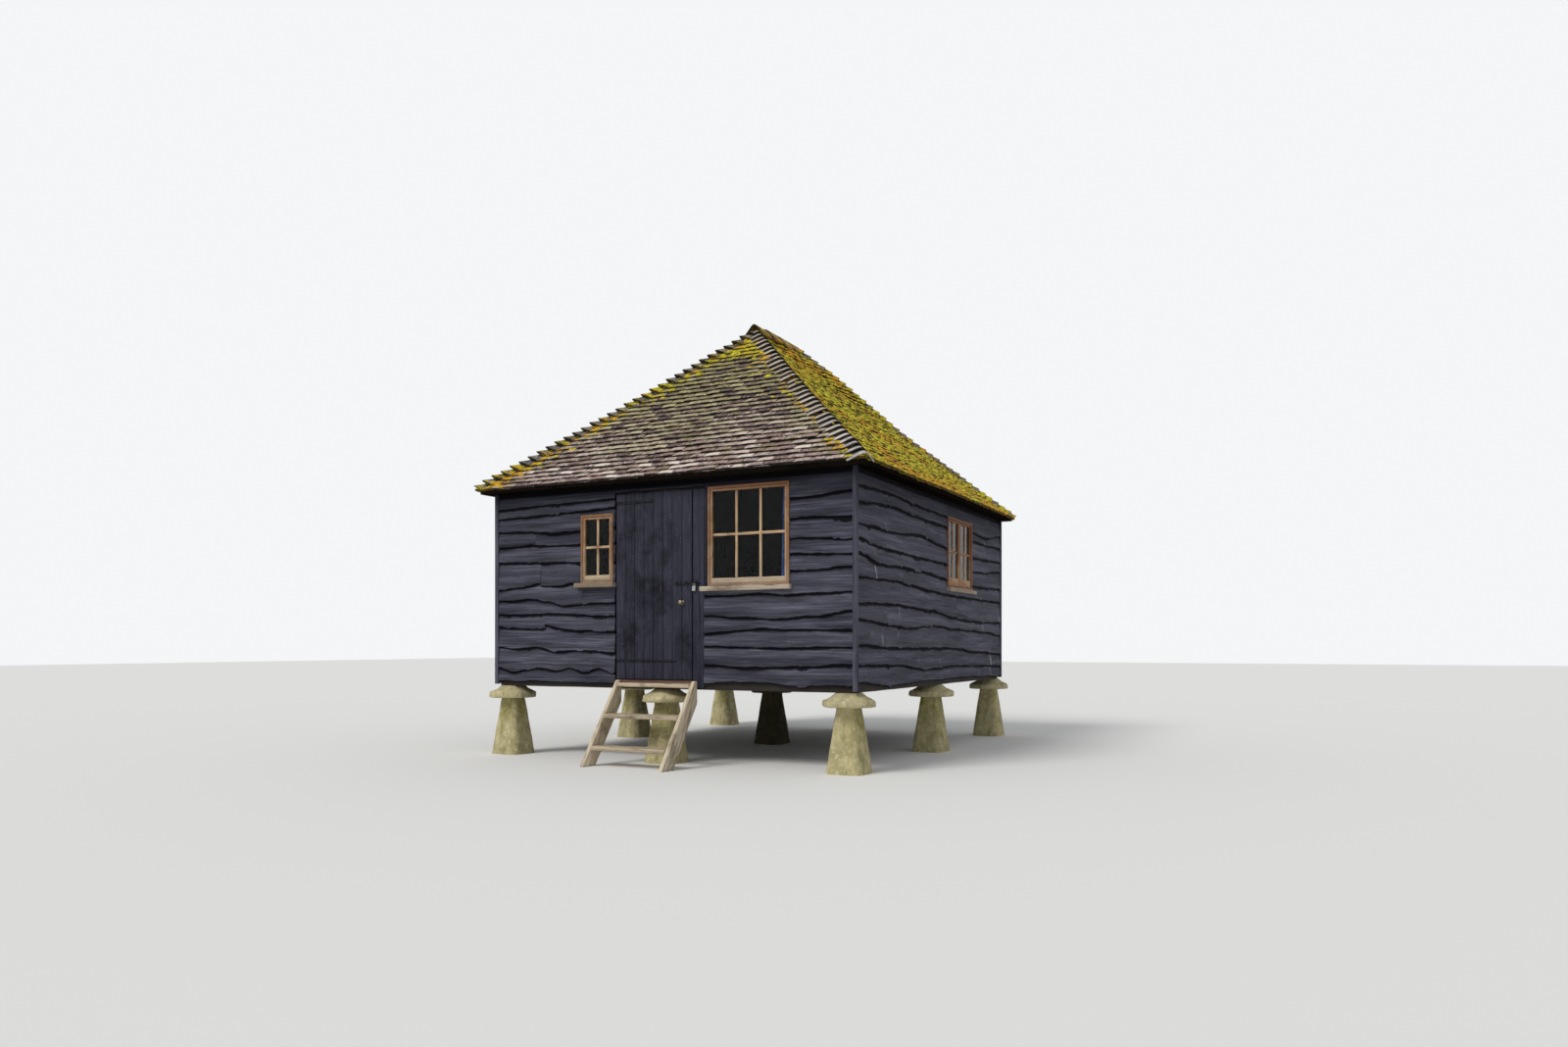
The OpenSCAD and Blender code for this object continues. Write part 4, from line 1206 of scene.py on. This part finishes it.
# Moss: how far it has spread, and its light and dark parts.
moss, start, end = effect("moss", {"Vector": None, "Growth": 0.5}, ["Mask", "Light"])
carpet = noisy(moss, start.outputs["Vector"], 13.0, 6.0, 0.7)
needed = ranged(moss, start.outputs["Growth"], low=0.86, high=0.22)
excess = worked_out(moss, "SUBTRACT", carpet, needed)
spread = ranged(moss, excess, -0.02, 0.05, interpolation_type="SMOOTHSTEP")
tufts = noisy(moss, start.outputs["Vector"], 34.0, 4.0, 0.65)
join(moss, end, {"Mask": spread, "Light": ranged(moss, tufts, 0.34, 0.66)})


def moss_colour(tree, here, light):
    """Yellow-green moss with ochre patches and brown mottles, as a socket."""
    colour = mixed(tree, light, tint("6c6604"), tint("faea3e"))
    colour = stain(tree, colour, spots(tree, here, 1.9, 0.46, 0.6), "d8901f", 0.62)
    return stain(tree, colour, spots(tree, here, 9.0, 0.52, 0.66), "57430f", 0.7)


def fired_clay(name, low_palette, high_palette, lichen_share):
    """Old clay: one palette at the eaves, one at the top, lichen and moss."""
    made, tree, shader = finish(name, Roughness=0.9, Specular_IOR_Level=0.25)
    here = on_piece(tree)
    tone = layer(tree, "tone")
    pair = []
    for palette in (low_palette, high_palette):
        ramp = put(tree, "ValToRGB", {"Fac": tone})
        stops = ramp.color_ramp.elements
        stops[0].color, stops[1].color = tint(palette[0]), tint(palette[-1])
        for number, code in enumerate(palette[1:-1]):
            stops.new((number + 1) / (len(palette) - 1)).color = tint(code)
        pair.append(ramp.outputs[0])
    cloud = noisy(tree, here, 1.3, 3.0)
    wavy = worked_out(tree, "MULTIPLY_ADD", cloud, 1.4, height_of(tree, here))
    climbed = ranged(tree, wavy, 3.6, 4.7)
    colour = mixed(tree, climbed, *pair)
    colour = stain(tree, colour, spots(tree, here, 9.0, 0.5, 0.72), low_palette[0])
    bare = times(tree, spots(tree, here, 30.0, 0.5, 0.62), ranged(tree, tone, low=0.25))
    colour = stain(tree, colour, bare, low_palette[-1])
    taken = ranged(tree, times(tree, tone, climbed), 0.25, 0.45)
    spotty = clamped(tree, "ADD", spots(tree, here, 4.5, 0.55, 0.65), taken)
    lichen = times(tree, spotty, spots(tree, here, 45.0, 0.35, 0.55))
    colour = stain(tree, colour, lichen, "8f8854", lichen_share)
    green = place(tree, moss, {"Vector": here, "Growth": layer(tree, "moss")})
    grown_over, light = green.outputs["Mask"], green.outputs["Light"]
    colour = mixed(tree, grown_over, colour, moss_colour(tree, here, light))
    # Tails blackened as dirt and painted shade, and the part under the tile above as painted shade; both a
    # little less where moss grows.
    edge_and_shade_strength = ranged(tree, grown_over, low=0.97, high=0.86)
    colour = stain(tree, colour, times(tree, layer(tree, "edge"), edge_and_shade_strength), "0d0907")
    colour = stain(tree, colour, times(tree, layer(tree, "shade"), edge_and_shade_strength), "0b0806")
    join(tree, shader, {"Base Color": colour})
    raised = worked_out(tree, "MULTIPLY", grown_over, light)
    height = worked_out(tree, "MULTIPLY_ADD", noisy(tree, here, 90.0, 4.0), 0.25, raised)
    bumpy(tree, shader, height, 0.012, 0.8)
    return made


clay = fired_clay("old_clay", ("5a4645", "91766f", "b3a099", "80686a", "b09a90", "e2d5cb"),
                  ("382c2a", "665648", "968b4f", "4c3f3a", "958a72", "c8bf92"), lichen_share=0.65)
run_front = eaves_y + ridge_near
run_back = eaves_y - ridge_far
grown = {
    "front": tile_slope("front", eaves_y, run_front, (-eaves_x, 0), (eaves_x, 0), seed=11),
    "right": tile_slope("right", eaves_x, eaves_x, (-eaves_y, ridge_near), (eaves_y, ridge_far), seed=12),
    "back": tile_slope("back", eaves_y, run_back, (-eaves_x, 0), (eaves_x, 0), seed=13),
    "left": tile_slope("left", eaves_x, eaves_x, (-eaves_y, -ridge_far), (eaves_y, -ridge_near), seed=14),
}


# Moss cushions.
# Round tufts that have grown on the tails and joints of the tiles, in
# hundreds on the right slope and here and there on the others.
TUFT_SIZE = (0.012, 0.034)
TUFT_STRETCH = (1.0, 2.6)
TUFT_TRIES = 3

cushion_moss, tree, shader = finish("cushion_moss", Roughness=0.95)
here = on_piece(tree)
tufty = place(tree, moss, {"Vector": here, "Growth": 1.0})
join(tree, shader, {"Base Color": moss_colour(tree, here, tufty.outputs["Light"])})
bumpy(tree, shader, noisy(tree, here, 160.0), 0.006)


def moss_cushions(side, chance, seed):
    """Tufts set at random on a slope's tiles, more where moss grows."""
    draw = random.Random(seed)
    bm = bmesh.new()
    dome = bmesh.new()
    bmesh.ops.create_icosphere(dome, subdivisions=2, radius=1)
    half = trimmed(dome, [((0, 0, -0.15), (0, 0, -1))])
    dome.free()
    template = stored(half, "tuft")
    turn = quarter_turn(QUARTERS[side])
    out = eaves_x if QUARTERS[side] % 2 else eaves_y
    for matrix, growth in grown[side]:
        for _ in range(TUFT_TRIES):
            if draw.random() > chance * max(growth - 0.25, 0):
                continue
            size = draw.uniform(*TUFT_SIZE)
            spot = Vector((draw.uniform(-0.08, 0.08), draw.uniform(size + 0.002, 0.085), -0.005))
            part = bmesh.new()
            part.from_mesh(template)
            stretch = draw.uniform(*TUFT_STRETCH)
            for v in part.verts:
                bump = 1 + 0.3 * noise.noise(v.co * 1.7 + Vector((draw.random() * 0.2, size * 900, 0)))
                v.co = Vector((v.co.x * size * stretch, v.co.y * size, v.co.z * size * 0.5)) * bump + spot
                v.co = matrix @ v.co
                v.co.y = max(v.co.y, EAVES_INSIDE - out)
                v.co = turn @ v.co
            add_part(bm, part)
    bpy.data.meshes.remove(template)
    make_piece(side + "_moss", bm, cushion_moss, smooth=180)


for side, chance, seed in (("right", 1.0, 21), ("front", 0.4, 22), ("back", 0.3, 23), ("left", 0.3, 24)):
    moss_cushions(side, chance, seed)


# Bonnet tiles.
# Curved clay tiles, one to each course, bedded in mortar on the hips. Their
# wings hang over both slopes. They are bare on the near hip, mossy elsewhere.
BONNET_HALF = 0.132
DARK_HALF = 0.092
BED_HALF = 0.078
BONNET_CREST = 0.034
BONNET_FALL = 0.094
BONNET_ROUND = 0.03
BONNET_T = 0.015
BONNET_L = 0.215
BONNET_TAPER = 0.14
RIGHT_TAIL = 0.026
LEFT_TAIL = 0.040
NEAR_SWEEP = 0.85
FAR_SWEEP = 0.22
BARE_NEAR = 0.062
BARE_ELSEWHERE = 0.080
BONNET_SHADOW = 0.024
BONNET_JITTER = 0.05
HIP_SEEDS = 31


def arched(across, roundness, fall):
    """How far a rounded section has fallen at -1 to 1 across."""
    bend = math.sqrt(across * across + roundness) - math.sqrt(roundness)
    return fall * bend / (math.sqrt(1 + roundness) - math.sqrt(roundness))


def bonnet_section(across):
    """Height of a bonnet's upper face over the hip line, at -1 to 1 across."""
    return BONNET_CREST - arched(across, BONNET_ROUND, BONNET_FALL)


def eaves_cuts(sx, sy, inside):
    """The two planes that end a hip's parts at the eaves."""
    return [((sx * (eaves_x - inside), 0, 0), (sx, 0, 0)), ((0, sy * (eaves_y - inside), 0), (0, sy, 0))]


def hip_points(sx, sy):
    """The hip line's points at each course, from its corner to the ridge."""
    side = "front" if sy < 0 else "back"
    heights = slope_profile(side, eaves_y, run_front if sy < 0 else run_back, 0)
    corner = Vector((sx * eaves_x, sy * eaves_y, 0))
    top = Vector((0, ridge_near if sy < 0 else ridge_far, 0))
    return [corner.lerp(top, i / COURSES) + Vector((0, 0, heights[i])) for i in range(COURSES + 1)]


def square_to(along):
    """The level and the upward direction square to a hip's line."""
    across = along.cross(Vector((0, 0, 1))).normalized()
    return across, across.cross(along)


def bonnets(sx, sy, growth, raised, bm, seed):
    """The bonnets of one hip."""
    draw = random.Random(seed)
    points = hip_points(sx, sy)
    near = (sx, sy) == (1, -1)
    kick = RIGHT_TAIL if sx > 0 else LEFT_TAIL
    half = BONNET_HALF if near else DARK_HALF
    sweep = half * (NEAR_SWEEP if sy < 0 else FAR_SWEEP)
    bare = BARE_NEAR if near else BARE_ELSEWHERE
    stations = (0.002, 0.009, bare, bare + BONNET_SHADOW, BONNET_L)
    for number in range(COURSES):
        tail, head = points[number], points[number + 1] - Vector((0, 0, kick))
        along = (head - tail).normalized()
        across, up = square_to(along)
        turned = Matrix((across, along, up)).transposed().to_4x4()
        share = number / COURSES
        lift = kick - 0.006 + raised(share) + draw.uniform(-0.004, 0.005)
        skew = Matrix.Rotation(draw.uniform(-BONNET_JITTER, BONNET_JITTER), 4, "Z")
        roll = Matrix.Rotation(draw.uniform(-BONNET_JITTER, BONNET_JITTER), 4, "Y")
        matrix = Matrix.Translation(tail + up * lift) @ turned @ (skew @ roll)
        tone = draw.uniform(0.45, 1) if near else draw.uniform(0, 0.24)
        grows = growth(share) * (0.7 + 0.6 * draw.random())
        part = divided_box((10, 4, 1))
        toned, mossy, wear_and_edge_shade, shaded = add_layers(part, "tone", "moss", "edge", "shade")
        for v in part.verts:
            station = round((v.co.y + 0.5) * 4)
            y = stations[station]
            w = v.co.x * 2
            narrow = 1 - BONNET_TAPER * y / BONNET_L
            z = bonnet_section(w * narrow * half / BONNET_HALF) - (BONNET_T if v.co.z < 0 else 0)
            v[toned], v[mossy] = tone, grows
            # Tail marked black as dirt and painted shade; the head is painted with the shade of the bonnet
            # above.
            v[wear_and_edge_shade] = 1.0 if station == 0 else 0.0
            v[shaded] = TILE_SHADE[station]
            y += sweep * abs(w) ** 1.3 if station < 4 else 0
            v.co = matrix @ Vector((w * half * narrow, y, z))
        kept = trimmed(part, [((sx * 0.001, 0, 0), (-sx, 0, 0))])
        part.free()
        if kept:
            short = trimmed(kept, eaves_cuts(sx, sy, EAVES_INSIDE))
            kept.free()
            if short:
                add_part(bm, short)
    return points


def mortar_bed(bm, points, raised, sx, sy):
    """The bed under the bonnets of one hip, a ragged strip along it."""
    part = divided_box((4, COURSES, 1))
    for v in part.verts:
        place_on = round((v.co.y + 0.5) * COURSES)
        point = points[place_on]
        along = (points[min(place_on + 1, COURSES)] - points[max(place_on - 1, 0)]).normalized()
        across, up = square_to(along)
        w = v.co.x * 2
        z = bonnet_section(w * BED_HALF / BONNET_HALF) - (0.022 if v.co.z > 0 else 0.06)
        z += raised(place_on / COURSES)
        z += 0.004 * rough(point * 9, 1, w)
        v.co = point + across * w * BED_HALF + up * z
    kept = trimmed(part, eaves_cuts(sx, sy, EAVES_BACK))
    part.free()
    add_part(bm, kept)


bonnet_clay = fired_clay("bonnet_clay", ("4b453f", "79726a", "b4adaa", "9a9392", "ccc7c6"),
                         ("50473a", "82775f", "b5aaa6", "b09c98", "dccbc6"), lichen_share=0.45)
mortar, tree, shader = finish("hip_mortar", Roughness=0.95)
here = on_piece(tree)
colour = mixed(tree, spots(tree, here, 20.0, 0.4, 0.65), tint("2f2a26"), tint("4c463e"))
join(tree, shader, {"Base Color": colour})
bumpy(tree, shader, noisy(tree, here, 60.0), 0.006)

hips, beds = bmesh.new(), bmesh.new()
growths = {
    (1, -1): lambda share: 0.12 + 0.25 * share,
    (-1, -1): lambda share: 0.44 + 0.15 * math.exp(-share / 0.2) + 0.18 * math.exp(-abs(share - 0.62) / 0.1),
    (1, 1): lambda share: 0.62,
    (-1, 1): lambda share: 0.55,
}
for number, ((sx, sy), growth) in enumerate(growths.items()):
    raised = far_hip_rise if (sx, sy) == (1, 1) else lambda share: 0.0
    line = bonnets(sx, sy, growth, raised, hips, HIP_SEEDS + number)
    mortar_bed(beds, line, raised, sx, sy)
bmesh.ops.recalc_face_normals(hips, faces=hips.faces)
bmesh.ops.recalc_face_normals(beds, faces=beds.faces)
make_piece("bonnet_tiles", hips, bonnet_clay, ["hip_tiles"])
make_piece("bonnet_bed", beds, mortar)


# Ridge tiles.
# Four half-round terracotta tiles bedded over the ridge. The near one has
# sunk a little, and its end is open and dark.
RIDGE_T = 0.016
NEAR_SINKS = 0.018
RIDGE_ROUND = 0.06
RIDGE_MOSS = 0.55
RIDGE_SEEDS = 60

terracotta = fired_clay("terracotta", ("6b4a34", "94683f", "a8663f", "b5906a"),
                        ("6b4a34", "94683f", "b06a40", "b9966f"), lichen_share=0.5)
low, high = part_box("ridge_tiles")
ridge_r = (high.x - low.x) / 2
rows = solids("ridge_tiles")
rows.sort(key=lambda box: box[0].y)
caps = bmesh.new()
for number, (one_low, one_high) in enumerate(rows):
    draw = random.Random(RIDGE_SEEDS + number)
    part = divided_box((14, 4, 1))
    toned, mossy, wear_and_edge_shade = add_layers(part, "tone", "moss", "edge")
    tone = draw.random()
    sink = NEAR_SINKS if number == 0 else 0.002 + 0.004 * draw.random()
    for v in part.verts:
        across = v.co.x * 2
        inner = RIDGE_T if v.co.z < 0 else 0
        drop = arched(across, RIDGE_ROUND, ridge_r - 0.002)
        v[toned], v[mossy] = tone, RIDGE_MOSS
        # Ends marked black: painted shade in the joints and in the open end.
        v[wear_and_edge_shade] = 1.0 if abs(v.co.y) > 0.49 else 0.0
        y = one_low.y + (one_high.y - one_low.y) * (v.co.y + 0.5)
        z = high.z - inner - drop - sink - 0.003 * draw.random()
        v.co = Vector(((ridge_r - inner * 0.7) * across, y, z))
    add_part(caps, part)
bmesh.ops.recalc_face_normals(caps, faces=caps.faces)
make_piece("half_round_ridge", caps, terracotta, ["ridge_tiles"])


# Door leaf.
# Eight upright boards with sunk joints, nailed to three ledges on the back
# and stained like the walls, but less weathered.
DOOR_BOARDS = 8
LEAF_JOINT = 0.0012
LEAF_SEEDS = 1100
LEDGE_SEEDS = 1120

leaf = bmesh.new()
board_w = (leaf_high.x - leaf_low.x) / DOOR_BOARDS
for number in range(DOOR_BOARDS):
    left = leaf_low.x + number * board_w + LEAF_JOINT / 2
    right = leaf_low.x + (number + 1) * board_w - LEAF_JOINT / 2
    tone = random.Random(LEAF_SEEDS + number).uniform(0.4, 0.75)
    timber(leaf, Vector((left, leaf_low.y, leaf_low.z)), Vector((right, leaf_high.y, leaf_high.z)),
           LEAF_SEEDS + number, edge=0.008, tone=tone)
make_piece("boarded_leaf", leaf, black_door, ["door_leaf"], "door")
ledges = bmesh.new()
for number, (low, high) in enumerate(solids("door_ledges")):
    timber(ledges, low, high, LEDGE_SEEDS + number, edge=0.008)
make_piece("leaf_ledges", ledges, black_door, ["door_ledges"], "door")


# Ironwork.
# Two forged strap hinges on pins, a hasp over its staple, all painted black,
# with a bright steel padlock hung in the hasp and a dull brass knob.
def worn_metal(name, base, rubbed, metallic, roughness, gloss=0.5):
    """Metal or painted metal, with rubbed places."""
    made, tree, shader = finish(name, Metallic=metallic, Roughness=roughness, Specular_IOR_Level=gloss)
    here = on_piece(tree)
    colour = mixed(tree, spots(tree, here, 45.0, 0.5, 0.65), tint(base), tint(rubbed))
    join(tree, shader, {"Base Color": colour})
    bumpy(tree, shader, noisy(tree, here, 220.0), 0.001, 0.6)
    return made


def flats_joined(bm):
    """Makes one face of the flat triangles that lie side by side."""
    bmesh.ops.dissolve_limit(bm, angle_limit=math.radians(1), verts=bm.verts, edges=bm.edges)


def eased(name, nodes, material, body, edge):
    """CAD ironwork with its sharp edges eased."""
    bm = bmesh.new()
    for node in nodes:
        add_part(bm, solid_copy(node))
    flats_joined(bm)
    sharp = [e for e in bm.edges if len(e.link_faces) == 2 and e.calc_face_angle(0) > math.radians(50)]
    eased_edges(bm, sharp, edge, segments=1)
    make_piece(name, bm, material, nodes, body)


black_iron = worn_metal("black_iron", "15151b", "32323c", metallic=0.0, roughness=0.6, gloss=0.12)
lock_steel = worn_metal("lock_steel", "a9a9a4", "d0d0cb", metallic=1.0, roughness=0.35)
knob_brass = worn_metal("knob_brass", "8d8168", "b9ad92", metallic=1.0, roughness=0.35)
eased("iron_straps", ["strap_hinges", "hasp"], black_iron, "door", edge=0.0008)
eased("iron_pins", ["hinge_pins", "hasp_staple"], black_iron, "root", edge=0.0005)
eased("hanging_lock", ["padlock"], lock_steel, "door", edge=0.0015)
eased("round_knob", ["door_knob"], knob_brass, "door", edge=0.001)


# Steps.
# Two slanted strings of bare oak, cut level at the ground, with three thick
# treads housed between them. The edges are rounded by feet.
STRING_SEED = 1200
TREAD_SEEDS = 1210
TOP_CUT = 0.2

step_oak = wood("step_oak", "665642", "b8a68b", "f4e6cd", rough_at=0.9, depth=0.004, across=62.0, gloss=0.2,
                cracks=1.0)
strings = solid_copy("step_strings")
flats_joined(strings)
eased_edges(strings, [e for e in strings.edges if e.calc_face_angle(0) > 0.3], 0.006, clamp=False)
low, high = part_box("step_strings")
mark(strings, (0, high.y - low.y - TOP_CUT, high.z - low.z), STRING_SEED, 1.0)
make_piece("slanted_strings", strings, step_oak, ["step_strings"])
treads = bmesh.new()
for number, (low, high) in enumerate(solids("step_treads")):
    timber(treads, low, high, TREAD_SEEDS + number, edge=0.008, cuts=12, wear=0.003, tone=0.55)
make_piece("worn_treads", treads, step_oak, ["step_treads"])
